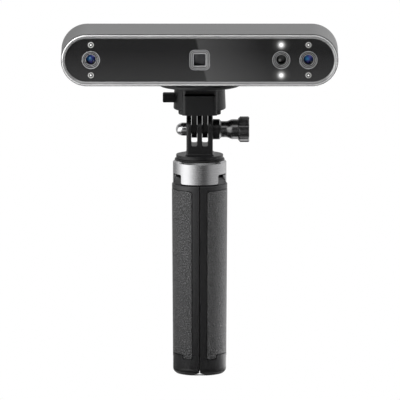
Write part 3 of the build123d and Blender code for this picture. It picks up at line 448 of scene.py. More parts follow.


# Front bezel: a turned aluminium ring that holds the glass in the shell, glued in from the front.
# A bead stands near its outer edge, then a fine groove, then a band falls in to the glass; bead and ridges
# carry a painted highlight and the groove painted shade.
# Each outline is a round-ended loop, and the loops are joined into one closed ring.
def lofted_ring(name, loops, material, steps, crease):
    """A closed ring through round-cornered loops, each given as width, height, corner, depth and painted
    shine.
    """
    form = bmesh.new()
    rings = []
    shine_layer = form.verts.layers.float.new("painted_shine")
    hair = 0.0001
    for width, height, corner, depth, painted_shine in loops:
        x, z = width / 2, height / 2
        turn = min(corner, x, z) - hair
        corners = [(-x, -z, turn), (x, -z, turn), (x, z, turn), (-x, z, turn)]
        rings.append([
            form.verts.new(Vector((point.x, depth, head_middle + point.y)) * mm)
            for point in rounded_outline(corners, steps)
        ])
        for corner in rings[-1]:
            corner[shine_layer] = painted_shine
    for first, second in zip(rings, rings[1:] + rings[:1]):
        for index in range(len(first)):
            form.faces.new((first[index - 1], first[index], second[index], second[index - 1]))
    piece = closed_piece(form, name, crease)
    piece.data.materials.append(material)
    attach(piece, "head")
    return piece


def paint_crest_shine(material):
    """Let a finish change from its first colour to its second with the painted shine: painted shade in
    grooves, painted highlight on crests.
    """
    tree = material.node_tree
    painted_shine = tree.nodes.new("ShaderNodeAttribute")
    painted_shine.attribute_name = "painted_shine"
    link(tree, (painted_shine.outputs["Fac"], found(tree, "MIX").inputs["Factor"]))


bezel_width, bezel_height = 153.0, 29.0
glass_width, glass_height = 148.3, 23.6
bezel_section = (
    (0.0, -20.15, 0.05), (0.0, -21.6, 0.05), (0.04, -21.8, 0.05), (0.14, -21.85, 0.1), (0.17, -22.1, 0.3),
    (0.185, -22.4, 0.9), (0.20, -22.48, 1.0), (0.22, -22.5, 1.0), (0.41, -22.5, 1.0), (0.43, -22.46, 0.8),
    (0.455, -22.3, 0.3), (0.50, -22.24, 0.2), (0.55, -22.28, 0.35), (0.58, -22.34, 0.5), (0.64, -22.3, 0.5),
    (0.82, -22.12, 0.4), (0.92, -22.0, 0.2), (1.0, -21.8, 0.05), (1.0, -20.15, 0.05),
)
# Painted light: the bezel runs from near-black in its grooves to bright silver on its bead and ridges, as
# painted shade and painted highlight.
bezel_silver = moulded(
    "bezel_silver", (0.03, 0.03, 0.03), (0.72, 0.72, 0.72), 0.13, 4200, 0.01, metal=0.6, spread=0.03
)
paint_crest_shine(bezel_silver)
ring = lofted_ring(
    "polished_bezel",
    [
        (
            bezel_width + (glass_width - bezel_width) * share,
            bezel_height + (glass_height - bezel_height) * share,
            bezel_height,
            depth,
            painted_shine,
        )
        for share, depth, painted_shine in bezel_section
    ],
    bezel_silver,
    steps=48,
    crease=28,
)
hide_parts("front_bezel")


# Front glass: one black panel of hard-coated glass, pierced for the lenses, lamps and projector.
# Its black is printed on the back, so the face is smooth and only the faintest haze breaks the gloss.
# Around the two lit lamps of the colour camera the panel itself shines with a painted glow.
panel_black = moulded(
    "panel_black", (0.0032, 0.0032, 0.0034), (0.0042, 0.0042, 0.0044), 0.010, 300, 0.0005, spread=0.002
)
glass_face = -21.2
lamp_rise = 8.45
infrared_cameras = (-60, 60)
colour_camera = 45
painted_glow_reach = 5.5 * mm


def tone_ramp(tree, stops):
    """A ramp of colours through stops, each given as its place and its colour."""
    ramp = tree.nodes.new("ShaderNodeValToRGB")
    marks = ramp.color_ramp.elements
    marks.remove(marks[0])
    marks[0].position = stops[0][0]
    marks[0].color = (*stops[0][1], 1.0)
    for place, colour in stops[1:]:
        marks.new(place).color = (*colour, 1.0)
    return ramp


def maths(tree, operation, values):
    """A node that does one sum, with values for its inputs given by number."""
    node = added(tree, "ShaderNodeMath", values)
    node.operation = operation
    return node


def painted_lamp_glow(material):
    """Paint a soft glow around the two white lamps: the finish itself shines there."""
    tree = material.node_tree
    body = tree.nodes["Principled BSDF"]
    place = found(tree, "TEX_COORD")
    nearest = maths(tree, "MINIMUM", {})
    for rank, rise in enumerate((-lamp_rise, lamp_rise)):
        lamp = Vector((colour_camera, glass_face, head_middle + rise)) * mm
        away = added(tree, "ShaderNodeVectorMath", {1: lamp})
        away.operation = "DISTANCE"
        link(tree, (place.outputs["Object"], away.inputs[0]), (away.outputs["Value"], nearest.inputs[rank]))
    reach = added(tree, "ShaderNodeMapRange", {"From Max": painted_glow_reach})
    tones = ((0.36, 0.19), (0.45, 0.10), (0.55, 0.034), (0.66, 0.019), (0.76, 0.0125), (0.86, 0.006))
    warm = 0.98
    painted_halo = tone_ramp(tree, [
        (0.0, (0.24, 0.24, 0.235)),
        *((spot, (tone, tone, tone * warm)) for spot, tone in tones),
        (1.0, (0.0, 0.0, 0.0)),
    ])
    body.inputs["Emission Strength"].default_value = 1.0
    link(
        tree,
        (nearest.outputs["Value"], reach.inputs["Value"]),
        (reach.outputs["Result"], painted_halo.inputs["Fac"]),
        (painted_halo.outputs["Color"], body.inputs["Emission Color"]),
    )


painted_lamp_glow(panel_black)
dress(panel_black, "front_glass")


# Optics chassis: a cast magnesium tray behind the glass that the cameras and the projector screw to.
# Cast grey with a coarse, dull skin.
chassis_grey = moulded("chassis_grey", (0.17, 0.17, 0.175), (0.13, 0.13, 0.135), 0.5, 2200, 0.4, metal=0.9)
dress(chassis_grey, "optics_chassis")


# Camera baffles: a funnel of three fine ridges in front of each lens, which keeps stray light out.
# Moulded plastic, its ridges painted pale as painted highlight and its valleys near-black as painted shade;
# one section is swept round a circle and set out at the three camera places.
def sweep_tree(name, sizes):
    """A tree that sweeps the object's own section along a path and sets the result out on points.

    It comes with its inputs, among them the sizes given, and with the socket that the path goes into.
    """
    tree = bpy.data.node_groups.new(name, "GeometryNodeTree")
    face = tree.interface
    for label, kind in (("Section", "Geometry"), *sizes, ("Places", "Object"), ("Finish", "Material")):
        face.new_socket(label, in_out="INPUT", socket_type=f"NodeSocket{kind}")
    face.new_socket("Pieces", in_out="OUTPUT", socket_type="NodeSocketGeometry")
    start = tree.nodes.new("NodeGroupInput")
    end = tree.nodes.new("NodeGroupOutput")
    section = tree.nodes.new("GeometryNodeMeshToCurve")
    lean = tree.nodes.new("GeometryNodeSetCurveNormal")
    lean.mode = "Z_UP"
    sweep = tree.nodes.new("GeometryNodeCurveToMesh")
    places = tree.nodes.new("GeometryNodeObjectInfo")
    set_out = tree.nodes.new("GeometryNodeInstanceOnPoints")
    whole = tree.nodes.new("GeometryNodeRealizeInstances")
    paint = tree.nodes.new("GeometryNodeSetMaterial")
    link(
        tree,
        (start.outputs["Section"], section.inputs["Mesh"]),
        (lean.outputs["Curve"], sweep.inputs["Curve"]),
        (section.outputs["Curve"], sweep.inputs["Profile Curve"]),
        (start.outputs["Places"], places.inputs["Object"]),
        (places.outputs["Geometry"], set_out.inputs["Points"]),
        (sweep.outputs["Mesh"], set_out.inputs["Instance"]),
        (set_out.outputs["Instances"], whole.inputs["Geometry"]),
        (whole.outputs["Geometry"], paint.inputs["Geometry"]),
        (start.outputs["Finish"], paint.inputs["Material"]),
        (paint.outputs["Geometry"], end.inputs["Pieces"]),
    )
    return tree, start, lean.inputs["Curve"]


def swept_frames(name):
    """A tree that sweeps a section round a rounded square, which may be as round as a circle."""
    sizes = (("Width", "Float"), ("Height", "Float"), ("Corner", "Float"), ("Steps", "Int"))
    tree, start, path = sweep_tree(name, sizes)
    square = tree.nodes.new("GeometryNodeCurvePrimitiveQuadrilateral")
    round_off = added(tree, "GeometryNodeFilletCurve", {"Limit Radius": True})
    round_off.mode = "POLY"
    link(
        tree,
        (start.outputs["Width"], square.inputs["Width"]),
        (start.outputs["Height"], square.inputs["Height"]),
        (square.outputs["Curve"], round_off.inputs["Curve"]),
        (start.outputs["Corner"], round_off.inputs["Radius"]),
        (start.outputs["Steps"], round_off.inputs["Count"]),
        (round_off.outputs["Curve"], path),
    )
    return tree


def grown(name, tree, mesh, sizes, crease):
    """Run a tree on a mesh with the given sizes, and keep its result as a plain mesh facing the front."""
    same_point = 0.0005 * mm
    piece = placed(name, mesh)
    worker = piece.modifiers.new(name, "NODES")
    worker.node_group = tree
    for item in tree.interface.items_tree:
        if item.in_out == "INPUT" and item.name in sizes:
            worker[item.identifier] = sizes[item.name]
    view = bpy.context.evaluated_depsgraph_get()
    result = bpy.data.meshes.new_from_object(piece.evaluated_get(view))
    piece.modifiers.clear()
    result.transform(Matrix.Translation((0, 0, head_middle * mm)) @ Matrix.Rotation(pi / 2, 4, "X"))
    form = bmesh.new()
    form.from_mesh(result)
    bmesh.ops.remove_doubles(form, verts=form.verts, dist=same_point)
    bmesh.ops.recalc_face_normals(form, faces=form.faces)
    form.to_mesh(result)
    form.free()
    result.shade_smooth()
    result.set_sharp_from_angle(angle=radians(crease))
    piece.data = result
    return piece


def loose_points(name, places):
    """Bare points that a tree sets its copies out on."""
    mesh = bpy.data.meshes.new(name)
    mesh.from_pydata([(x * mm, z * mm, 0) for x, z in places], [], [])
    return bpy.data.objects.new(name, mesh)


def closed_section(name, points):
    """A section joined into a closed loop, its points given as reach, depth and the painted shine of the
    crest.
    """
    mesh = bpy.data.meshes.new(name)
    count = len(points)
    edges = [(index, (index + 1) % count) for index in range(count)]
    mesh.from_pydata([(reach * mm, depth * mm, 0) for reach, depth, painted_shine in points], edges, [])
    shine_layer = mesh.attributes.new("painted_shine", "FLOAT", "POINT")
    shine_layer.data.foreach_set("value", [painted_shine for reach, depth, painted_shine in points])
    return mesh


def painted_ridges(name, valley_shade, ridge_highlight):
    """Plastic with a painted highlight on its ridges and painted shade in the valleys between them."""
    material = moulded(name, valley_shade, ridge_highlight, 0.36, 3600, 0.1)
    paint_crest_shine(material)
    return material


frame_tree = swept_frames("swept_frames")
baffle_grey = painted_ridges("baffle_grey", (0.006, 0.006, 0.0062), (0.23, 0.23, 0.234))
camera_places = [(x, 0) for x in sorted((*infrared_cameras, colour_camera))]
baffle_section = (
    (2.20, -17.5, 0.0), (2.20, -21.08, 0.3), (2.12, -21.2, 1.0), (1.80, -21.2, 1.0), (1.72, -21.08, 0.3),
    (1.64, -20.4, 0.0), (1.30, -20.4, 0.0), (1.22, -20.85, 0.4), (1.16, -20.95, 1.0), (0.98, -20.95, 1.0),
    (0.92, -20.8, 0.2), (0.84, -20.1, 0.0), (0.50, -20.1, 0.0), (0.42, -20.5, 0.4), (0.36, -20.6, 1.0),
    (0.14, -20.6, 1.0), (0.08, -20.45, 0.5), (0.0, -19.8, 0.1), (0.05, -19.3, 0.0), (0.3, -18.9, 0.0),
    (0.3, -17.5, 0.0),
)
throat = 2.8
crest_crease = 34
points = loose_points("camera_points", camera_places)
baffles = grown(
    "ridged_baffles",
    frame_tree,
    closed_section("baffle_section", baffle_section),
    {"Width": 2 * throat * mm, "Height": 2 * throat * mm, "Corner": throat * mm, "Steps": 14,
     "Places": points, "Finish": baffle_grey},
    crest_crease,
)
bpy.data.objects.remove(points)
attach(baffles, "head")
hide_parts("left_camera_baffle", "right_camera_baffle", "colour_camera_baffle")


# Lenses: polished glass domes at the bottom of the baffles, the infrared ones with a blue coating.
# The blue is the coating's own tint; the soft coloured spots over it, on a flat map of each dome's face, are
# painted reflections, and a near-white spot on each lens is a painted highlight.
lens_radius, lens_rise = 2.6, 0.8
lens_back, lens_front = -15.4, -17.3


def glass_dome(name, places, material):
    """Domes with a cylindrical rim, one at each place, with a flat map from edge to edge."""
    form = bmesh.new()
    chart = form.loops.layers.uv.new("face")
    rounds, steps = 40, 10
    turns = [2 * pi * index / rounds for index in range(rounds)]
    ball = (lens_radius * lens_radius + lens_rise * lens_rise) / (2 * lens_rise)
    profile = [(lens_radius, lens_back)]
    for step in range(steps):
        reach = lens_radius * (1 - step / steps)
        profile.append((reach, lens_front + ball - (ball * ball - reach * reach) ** 0.5))
    for x, z in places:
        middle = Vector((x, 0, head_middle + z))
        loops = []
        for reach, depth in profile:
            loops.append([
                form.verts.new((middle + Vector((reach * cos(turn), depth, reach * sin(turn)))) * mm)
                for turn in turns
            ])
        tip = form.verts.new((middle + Vector((0, lens_front, 0))) * mm)
        faces = [form.faces.new(loops[0])]
        for first, second in zip(loops, loops[1:]):
            for index in range(rounds):
                corners = (first[index - 1], first[index], second[index], second[index - 1])
                faces.append(form.faces.new(corners))
        for index in range(rounds):
            faces.append(form.faces.new((loops[-1][index - 1], loops[-1][index], tip)))
        for face in faces:
            for corner in face.loops:
                away = (corner.vert.co / mm - middle) / (2 * lens_radius)
                corner[chart].uv = (away.x + 0.5, away.z + 0.5)
    piece = closed_piece(form, name, 40)
    piece.data.materials.append(material)
    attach(piece, "head")
    return piece


def glass_painted_reflections(name, deep, painted_spots):
    """Dark glass with soft spots of painted reflection and painted highlight, each given as colour, place on
    the face map and size.
    """
    material, tree, body = bare(name, {"Roughness": 0.06, "Specular IOR Level": 0.6})
    place = tree.nodes.new("ShaderNodeTexCoord")
    ripple = added(tree, "ShaderNodeTexNoise", {"Scale": 5.0})
    colour = None
    for tone, x, z, size in painted_spots:
        shift = added(tree, "ShaderNodeMapping", {
            "Location": (-x / size, -z / size, 0), "Scale": (1 / size, 1 / size, 1),
        })
        spot = tree.nodes.new("ShaderNodeTexGradient")
        spot.gradient_type = "SPHERICAL"
        blend = colour_mix(tree, deep, tone)
        link(
            tree,
            (place.outputs["UV"], shift.inputs["Vector"]),
            (shift.outputs["Vector"], spot.inputs["Vector"]),
            (spot.outputs["Fac"], blend.inputs["Factor"]),
        )
        if colour:
            link(tree, (colour, blend.inputs["A"]))
        colour = blend.outputs["Result"]
    haze = added(tree, "ShaderNodeBump", {"Strength": 0.05, "Distance": 0.02 * mm})
    link(
        tree,
        (place.outputs["UV"], ripple.inputs["Vector"]),
        (ripple.outputs["Fac"], haze.inputs["Height"]),
        (haze.outputs["Normal"], body.inputs["Normal"]),
        (colour, body.inputs["Base Color"]),
    )
    return material


blue_coating_and_reflections = glass_painted_reflections(
    "blue_coating_and_reflections",
    (0.030, 0.036, 0.120),
    (
        ((0.060, 0.100, 0.460), 0.5, 0.5, 0.60),
        ((0.050, 0.440, 0.950), 0.36, 0.52, 0.36),
        ((0.160, 0.170, 0.720), 0.68, 0.74, 0.26),
        ((0.220, 0.200, 0.760), 0.46, 0.20, 0.28),
        ((0.90, 0.93, 1.00), 0.80, 0.20, 0.14),
    ),
)
blue_lenses = glass_dome("infrared_lenses", [(x, 0) for x in infrared_cameras], blue_coating_and_reflections)
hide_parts("left_camera_lens", "right_camera_lens")
dark_glass_and_highlight = glass_painted_reflections(
    "dark_glass_and_highlight",
    (0.024, 0.024, 0.025),
    (
        ((0.070, 0.070, 0.072), 0.62, 0.62, 0.5),
        ((1.0, 1.0, 0.98), 0.34, 0.36, 0.20),
    ),
)
dark_lens = glass_dome("colour_lens", [(colour_camera, 0)], dark_glass_and_highlight)
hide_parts("colour_camera_lens")


# Lamps: four infrared ones with a bright reflector cup, and two white ones that are lit.
# Clear domes moulded over the chip, pushed through the glass; one form is set out at every lamp's place.
def lamp_set(name):
    """A tree that turns a half section round into a lamp and sets it out on points."""
    tree, start, path = sweep_tree(name, (("Rounds", "Int"), ("Axis", "Float")))
    circle = tree.nodes.new("GeometryNodeCurvePrimitiveCircle")
    link(
        tree,
        (start.outputs["Rounds"], circle.inputs["Resolution"]),
        (start.outputs["Axis"], circle.inputs["Radius"]),
        (circle.outputs["Curve"], path),
    )
    return tree


def lamp_face(name, rings, rough, metal, lit=False):
    """Rings of grey on a lamp's face, from the middle out, which shine by themselves where it is lit."""
    material, tree, body = bare(name, {"Metallic": metal, "Roughness": rough})
    reach = tree.nodes.new("ShaderNodeAttribute")
    reach.attribute_name = "reach"
    speck = added(tree, "ShaderNodeTexNoise", {"Scale": 2600})
    place = tree.nodes.new("ShaderNodeTexCoord")
    haze = added(tree, "ShaderNodeBump", {"Strength": 0.08, "Distance": 0.02 * mm})
    ramp = tone_ramp(tree, rings)
    link(
        tree,
        (reach.outputs["Fac"], ramp.inputs["Fac"]),
        (place.outputs["Object"], speck.inputs["Vector"]),
        (speck.outputs["Fac"], haze.inputs["Height"]),
        (haze.outputs["Normal"], body.inputs["Normal"]),
    )
    if lit:
        body.inputs["Base Color"].default_value = (0.02, 0.02, 0.02, 1.0)
        body.inputs["Emission Strength"].default_value = 1.0
        link(tree, (ramp.outputs["Color"], body.inputs["Emission Color"]))
    else:
        link(tree, (ramp.outputs["Color"], body.inputs["Base Color"]))
    return material


def lamps(name, places, node, material):
    """The lamps of one kind as one piece, each point marked with its distance from its lamp's middle."""
    points = loose_points(f"{name}_points", places)
    piece = grown(
        name,
        lamp_tree,
        closed_section(f"{name}_section", lamp_section),
        {"Rounds": 36, "Axis": 0.02 * mm, "Places": points, "Finish": material},
        lamp_crease,
    )
    bpy.data.objects.remove(points)
    reach = piece.data.attributes.new("reach", "FLOAT", "POINT")
    for index, corner in enumerate(piece.data.vertices):
        here = corner.co / mm
        reach.data[index].value = min(
            ((here.x - x) ** 2 + (here.z - head_middle - z) ** 2) ** 0.5 for x, z in places
        ) / lamp_radius
    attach(piece, "head")
    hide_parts(node)


lamp_tree = lamp_set("lamp_set")
lamp_radius = 2.0
lamp_crease = 38
lamp_section = (
    (0.0, -17.5, 0), (1.93, -17.5, 0), (1.98, -17.6, 0), (1.98, -21.2, 0), (1.9, -21.3, 0),
    (1.72, -21.34, 0), (1.55, -21.28, 0), (1.42, -21.2, 0), (1.26, -21.24, 0), (1.05, -21.36, 0),
    (0.8, -21.47, 0), (0.5, -21.55, 0), (0.2, -21.59, 0), (0.0, -21.6, 0),
)
silver_cup = lamp_face(
    "silver_cup",
    (
        (0.0, (0.98, 0.98, 0.97)), (0.16, (0.92, 0.92, 0.91)), (0.30, (0.02, 0.02, 0.02)),
        (0.50, (0.02, 0.02, 0.02)), (0.62, (0.42, 0.42, 0.41)), (0.76, (0.30, 0.30, 0.29)),
        (0.86, (0.03, 0.03, 0.03)), (1.0, (0.02, 0.02, 0.02)),
    ),
    0.22,
    0.2,
)
lamps(
    "infrared_lamps",
    [(x, z) for x in infrared_cameras for z in (-lamp_rise, lamp_rise)],
    "infrared_leds", silver_cup,
)
white_glow = lamp_face(
    "white_glow",
    ((0.0, (1.0, 1.0, 1.0)), (0.45, (1.0, 1.0, 1.0)), (0.58, (0.72, 0.72, 0.72)), (0.70, (0.47, 0.47, 0.47)),
     (0.85, (0.30, 0.30, 0.30)), (1.0, (0.18, 0.18, 0.18))),
    0.35,
    0.0,
    lit=True,
)
lamps(
    "white_lamps",
    [(colour_camera, z) for z in (-lamp_rise, lamp_rise)],
    "white_leds", white_glow,
)


# Projector: a square window in a funnel of three ridges, with the pattern lens behind it.
# The funnel is moulded like the camera baffles, with the same painted highlight and shade on its ridges; the
# lens is dark polished glass.
frame_section = (
    (2.45, -17.5, 0.0), (2.45, -21.05, 0.4), (2.37, -21.2, 0.9), (2.06, -21.2, 0.9), (1.98, -21.05, 0.4),
    (1.90, -20.5, 0.1), (1.66, -20.45, 0.1), (1.58, -20.85, 0.5), (1.52, -20.95, 1.0), (1.22, -20.95, 1.0),
    (1.14, -20.8, 0.4), (1.06, -20.2, 0.1), (0.80, -20.15, 0.1), (0.72, -20.5, 0.5), (0.66, -20.65, 1.0),
    (0.2, -20.65, 1.0), (0.1, -20.5, 0.6), (0.0, -19.4, 0.1), (0.0, -17.5, 0.0),
)
window_width, window_height, window_corner = 6.4, 6.5, 0.35
points = loose_points("projector_point", ((0, 0),))
funnel = grown(
    "ridged_funnel",
    frame_tree,
    closed_section("funnel_section", frame_section),
    {"Width": window_width * mm, "Height": window_height * mm, "Corner": window_corner * mm, "Steps": 8,
     "Places": points, "Finish": baffle_grey},
    crest_crease,
)
bpy.data.objects.remove(points)
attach(funnel, "head")
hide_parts("projector_frame")
pattern_glass = moulded(
    "pattern_glass", (0.026, 0.026, 0.028), (0.095, 0.095, 0.10), 0.10, 420, 0.02, spread=0.02
)
dress(pattern_glass, "projector_lens")
housing_black = moulded("housing_black", (0.020, 0.020, 0.021), (0.030, 0.030, 0.032), 0.5, 1500, 0.3)
dress(housing_black, "projector_housing")


# Camera barrels and boards: flanged black barrels on small green boards behind the chassis.
# The barrels are blackened aluminium, and the boards are glass laminate under a green lacquer.
barrel_black = moulded(
    "barrel_black", (0.030, 0.030, 0.032), (0.042, 0.042, 0.044), 0.38, 3000, 0.15, metal=0.6
)
dress(barrel_black, "left_camera_barrel", "right_camera_barrel", "colour_camera_barrel")


def laminate(name):
    """Green lacquer over copper: fine straight tracks from a brick pattern, with a fine grain."""
    deep, pale, track = (0.010, 0.065, 0.030), (0.014, 0.080, 0.038), (0.040, 0.160, 0.070)
    material = moulded(name, deep, pale, 0.32, 3200, 0.12, spread=0.04)
    tree = material.node_tree
    body = tree.nodes["Principled BSDF"]
    place, tint = found(tree, "TEX_COORD"), found(tree, "MIX")
    stand = added(tree, "ShaderNodeMapping", {"Rotation": (pi / 2, 0, 0)})
    tracks = added(tree, "ShaderNodeTexBrick", {
        "Scale": 260, "Mortar Size": 0.035, "Color2": (*pale, 1.0), "Mortar": (*track, 1.0),
    })
    link(
        tree,
        (place.outputs["Object"], stand.inputs["Vector"]),
        (stand.outputs["Vector"], tracks.inputs["Vector"]),
        (tint.outputs["Result"], tracks.inputs["Color1"]),
        (tracks.outputs["Color"], body.inputs["Base Color"]),
    )
    return material


board_green = laminate("board_green")
dress(board_green, "left_camera_board", "right_camera_board", "colour_camera_board", "main_board")


# Main board fittings: black chips, steel screws and three push switches for the buttons behind.
# Chips and switches are moulded epoxy with a dull, slightly sooty face.
chip_black = moulded("chip_black", (0.014, 0.014, 0.014), (0.024, 0.024, 0.023), 0.55, 1900, 0.25)
dress(chip_black, "board_chips", "button_switches")
dress(turned_steel, "board_screws")


# Rear cover: a black plate that closes the back of the shell, held by two screws at its ends.
# Moulded plastic with a fine spark-eroded skin and a rolled edge.
cover_black = moulded(
    "cover_black", (0.022, 0.022, 0.023), (0.030, 0.030, 0.031), 0.46, 2600, 0.25, specular=0.4
)
rounded("back_cover", "rear_cover", cover_black, 0.3 * mm, steps=3)
dress(turned_steel, "rear_screws")


# Buttons: one large start button and two small brightness buttons, in holes of the rear cover.
# Moulded in harder, slightly lighter plastic, their faces softly polished by use.
button_grey = moulded("button_grey", (0.055, 0.055, 0.058), (0.045, 0.045, 0.047), 0.30, 1500, 0.10)
for key, button in (
    ("start_key", "start_button"),
    ("brighter_key", "brightness_up_button"),
    ("dimmer_key", "brightness_down_button"),
):
    rounded(key, button, button_grey, 0.3 * mm, steps=3)


# Status light: a small pipe of clear acrylic above the start button that carries light from the board.
# Milky inside, so it glows evenly when lit; here it is off.
pipe_clear = moulded("pipe_clear", (0.52, 0.56, 0.55), (0.44, 0.48, 0.47), 0.18, 900, 0.05, spread=0.03)
dress(pipe_clear, "status_light")


# Cable socket: a drawn steel shell round a flat tongue, soldered on the board, flush in the cover.
# Plain plated steel, with the same fine grain as the turned parts.
dress(turned_steel, "usb_socket")


# Tripod insert: a flanged brass bush pressed in the floor of the shell, which takes the plate's screw.
# Machined brass, warm and bright, with the fine grain that the tool leaves.
turned_brass = moulded(
    "turned_brass", (0.66, 0.47, 0.19), (0.55, 0.38, 0.14), 0.28, 5200, 0.3, metal=1.0, spread=0.06
)
dress(turned_brass, "tripod_insert")


# Studio: a pale floor and world, soft boxes at the left, right and top, and the photograph's camera.
# Floor and world show plain white to the camera and in reflections, and the floor keeps the shadow.
# Cards around the object show in reflections only, and shape the shine of its metal, rubber and glass.
def join_seen(tree, lighting, seen, out):
    """Show one shader to the camera, to reflections and through glass, and the other to all else."""
    path = tree.nodes.new("ShaderNodeLightPath")
    either = path.outputs["Is Camera Ray"]
    for ray in ("Is Glossy Ray", "Is Transmission Ray"):
        more = maths(tree, "MAXIMUM", {})
        link(tree, (either, more.inputs[0]), (path.outputs[ray], more.inputs[1]))
        either = more.outputs["Value"]
    choose = tree.nodes.new("ShaderNodeMixShader")
    link(
        tree,
        (either, choose.inputs["Fac"]),
        (lighting, choose.inputs[1]),
        (seen, choose.inputs[2]),
        (choose.outputs["Shader"], out),
    )


def white_world():
    """A world that is white where it is seen, and dimmer where it lights the object."""
    world = bpy.data.worlds.new("pale_studio")
    bpy.context.scene.world = world
    world.use_nodes = True
    tree = world.node_tree
    out = tree.nodes["World Output"]
    light = tree.nodes["Background"]
    white = (1.0, 1.0, 1.0, 1.0)
    light.inputs["Color"].default_value = white
    light.inputs["Strength"].default_value = 0.05
    seen = added(tree, "ShaderNodeBackground", {"Color": white, "Strength": 1.0})
    join_seen(tree, light.outputs["Background"], seen.outputs["Background"], out.inputs["Surface"])


white_world()


def stage_sheet(name, points, faces, material):
    """A thin sheet that belongs to the studio."""
    mesh = bpy.data.meshes.new(name)
    mesh.from_pydata(points, [], faces)
    mesh.materials.append(material)
    sheet = placed(name, mesh)
    return sheet


def white_paper(name):
    """Pale paper: white to the camera and in reflections except where the object closes it off."""
    material, tree, paper = bare(name, {"Base Color": (0.90, 0.90, 0.90, 1.0), "Roughness": 0.9})
    shine = tree.nodes.new("ShaderNodeEmission")
    shadow_reach = 12 * mm
    closed = added(tree, "ShaderNodeAmbientOcclusion", {"Distance": shadow_reach})
    closed.samples = 16
    tone = added(tree, "ShaderNodeMapRange", {"From Max": 0.16, "To Min": 0.05})
    link(
        tree,
        (closed.outputs["AO"], tone.inputs["Value"]),
        (tone.outputs["Result"], shine.inputs["Strength"]),
    )
    out = tree.nodes["Material Output"]
    join_seen(tree, paper.outputs["BSDF"], shine.outputs["Emission"], out.inputs["Surface"])
    return material


def four_corners(half_width, near, far, height):
    """The corners of a level sheet."""
    return [(x, y, height) for x, y in (
        (-half_width, near), (half_width, near), (half_width, far), (-half_width, far),
    )]


one_face = [(0, 1, 2, 3)]
stage_sheet("paper_floor", four_corners(4, -4, 4, 0), one_face, white_paper("white_paper"))


def glowing(name, tone):
    """A material that only shines, with its tree and its glow."""
    material, tree, body = bare(name, {})
    tree.nodes.remove(body)
    glow = added(tree, "ShaderNodeEmission", {"Color": (tone, tone, tone, 1.0)})
    link(tree, (glow.outputs["Emission"], tree.nodes["Material Output"].inputs["Surface"]))
    return material, tree, glow


def mirrored(name, points, faces, material):
    """A card that shows in reflections only, so it shapes the shine and adds no light."""
    card = stage_sheet(name, points, faces, material)
    card.visible_camera = False
    card.visible_diffuse = False
    card.visible_transmission = False
    card.visible_shadow = False


def ring_card(name, near, far, low, high, stops):
    """A ring of card round the grip, its tone running between stops given as bearing and tone.

    Bearings are degrees to the right of the camera, from -90 to 270.
    """
    material, tree, glow = glowing(name, 1.0)
    place = tree.nodes.new("ShaderNodeTexCoord")
    turn = tree.nodes.new("ShaderNodeTexGradient")
    turn.gradient_type = "RADIAL"
    ramp = tone_ramp(tree, [((bearing + 90) / 360, (tone, tone, tone)) for bearing, tone in stops])
    link(
        tree,
        (place.outputs["Object"], turn.inputs["Vector"]),
        (turn.outputs["Fac"], ramp.inputs["Fac"]),
        (ramp.outputs["Color"], glow.inputs["Color"]),
    )
    steps = 72
    turns = [2 * pi * step / steps for step in range(steps)]
    points = [(near * cos(turn), near * sin(turn), low) for turn in turns]
    points += [(far * cos(turn), far * sin(turn), high) for turn in turns]
    faces = [(step, (step + 1) % steps, (step + 1) % steps + steps, step + steps) for step in range(steps)]
    mirrored(name, points, faces, material)


room_reach, room_height = 1.7, 1.2
inner_reach, middle_reach, card_lift = 0.015, 0.25, 0.0004
ring_card("room_wall", room_reach, room_reach, 0, room_height, (
    (-90, 0.4), (-78, 1.4), (-48, 1.4), (-34, 0.3), (-24, 0.06), (40, 0.05), (60, 0.25), (95, 0.5),
    (115, 0.8), (145, 0.6), (180, 0.44), (230, 0.42), (269, 0.4),
))
ring_card("near_floor", inner_reach, middle_reach, card_lift, card_lift, (
    (-90, 0.08), (-80, 0.12), (-66, 0.14), (-48, 0.12), (-34, 0.08), (-22, 0.05), (0, 0.03), (45, 0.03),
    (70, 0.2), (95, 0.7), (115, 1.8), (140, 1.8), (180, 1.0), (205, 1.0), (225, 0.2), (269, 0.2),
))
ring_card("far_floor", middle_reach, room_reach, card_lift, card_lift, (
    (-90, 1.1), (-80, 1.45), (-66, 1.6), (-51, 1.5), (-42, 1.25), (-33, 0.98), (-24, 0.72), (-14, 0.42),
    (-6, 0.24), (4, 0.13), (19, 0.11), (30, 0.18), (42, 0.36), (56, 0.48), (80, 0.52), (105, 0.64),
    (135, 0.74), (180, 0.5), (217, 0.26), (236, 0.33), (252, 0.62), (269, 1.05),
))
key_from, key_to = (-0.317, -0.148), (-0.073, -0.342)
key_low, key_high = 0.145, 0.300
key_tone = 1.9
key_corners = [(*key_from, key_low), (*key_to, key_low), (*key_to, key_high), (*key_from, key_high)]
mirrored("key_card", key_corners, one_face, glowing("key_card", key_tone)[0])


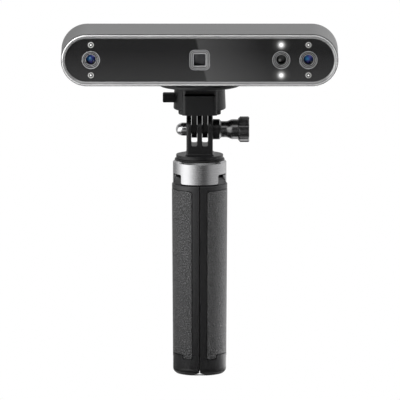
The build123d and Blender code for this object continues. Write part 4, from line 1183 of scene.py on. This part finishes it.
def glass_card(name):
    """The card that the front glass mirrors: bright near the object, dark far off, with one slanted edge."""
    half_width, near, far, height = 0.2, -1.08, -1.413, 0.0012
    fall_end, fall_start = -1.292, -1.131
    edge_slope, edge_start, edge_fade = -0.036, -0.0461, 0.040
    strip_start, strip_tone = -1.358, 0.6
    material, tree, glow = glowing(name, 1.0)
    place = tree.nodes.new("ShaderNodeTexCoord")
    part = tree.nodes.new("ShaderNodeSeparateXYZ")
    fall = added(tree, "ShaderNodeMapRange", {
        "From Min": fall_end, "From Max": fall_start, "To Min": 0.33, "To Max": 1.05,
    })
    slant = maths(tree, "MULTIPLY_ADD", {1: edge_slope, 2: edge_start})
    past = maths(tree, "ADD", {})
    fade = added(tree, "ShaderNodeMapRange", {"From Max": edge_fade, "To Min": 1.15, "To Max": 0.0})
    edge = maths(tree, "GREATER_THAN", {1: 0.0})
    band = maths(tree, "MULTIPLY", {})
    both = maths(tree, "ADD", {})
    beyond = maths(tree, "LESS_THAN", {1: strip_start})
    whole = maths(tree, "MULTIPLY_ADD", {1: strip_tone})
    link(
        tree,
        (place.outputs["Object"], part.inputs["Vector"]),
        (part.outputs["Y"], beyond.inputs[0]),
        (beyond.outputs["Value"], whole.inputs[0]),
        (both.outputs["Value"], whole.inputs[2]),
        (part.outputs["Y"], fall.inputs["Value"]),
        (part.outputs["Y"], slant.inputs[0]),
        (part.outputs["X"], past.inputs[0]),
        (slant.outputs["Value"], past.inputs[1]),
        (past.outputs["Value"], fade.inputs["Value"]),
        (past.outputs["Value"], edge.inputs[0]),
        (fade.outputs["Result"], band.inputs[0]),
        (edge.outputs["Value"], band.inputs[1]),
        (fall.outputs["Result"], both.inputs[0]),
        (band.outputs["Value"], both.inputs[1]),
        (whole.outputs["Value"], glow.inputs["Strength"]),
    )
    mirrored(name, four_corners(half_width, near, far, height), one_face, material)


glass_card("glass_card")


def soft_box(name, place, aim, size, power):
    """A rectangular area lamp turned to a point."""
    lamp = bpy.data.lights.new(name, "AREA")
    lamp.shape = "RECTANGLE"
    lamp.size, lamp.size_y = size
    lamp.energy = power
    box = placed(name, lamp)
    box.location = place
    box.rotation_euler = (Vector(aim) - Vector(place)).to_track_quat("-Z", "Y").to_euler()
    box.visible_glossy = False


soft_box("left_box", (-0.24, -0.17, 0.42), (0, 0, 0.12), (0.2, 0.2), 3.2)
soft_box("right_box", (0.70, 0.48, 0.50), (0, 0, 0.1), (0.4, 0.5), 50.0)
soft_box("top_box", (0.0, 0.2, 1.2), (0, 0, 0.1), (0.7, 0.5), 3.0)

camera = bpy.data.cameras.new("photo_camera")
camera.lens = 1627
camera.sensor_width = 36
eye = placed("photo_camera", camera)
pitch = radians(8.6)
camera_away = 10.0
middle = Vector((0.0002, 0, 0.0964))
eye.location = middle + camera_away * Vector((0, -cos(pitch), sin(pitch)))
eye.rotation_euler = (pi / 2 - pitch, 0, 0)
bpy.context.scene.camera = eye
bpy.context.scene.view_settings.view_transform = "Standard"
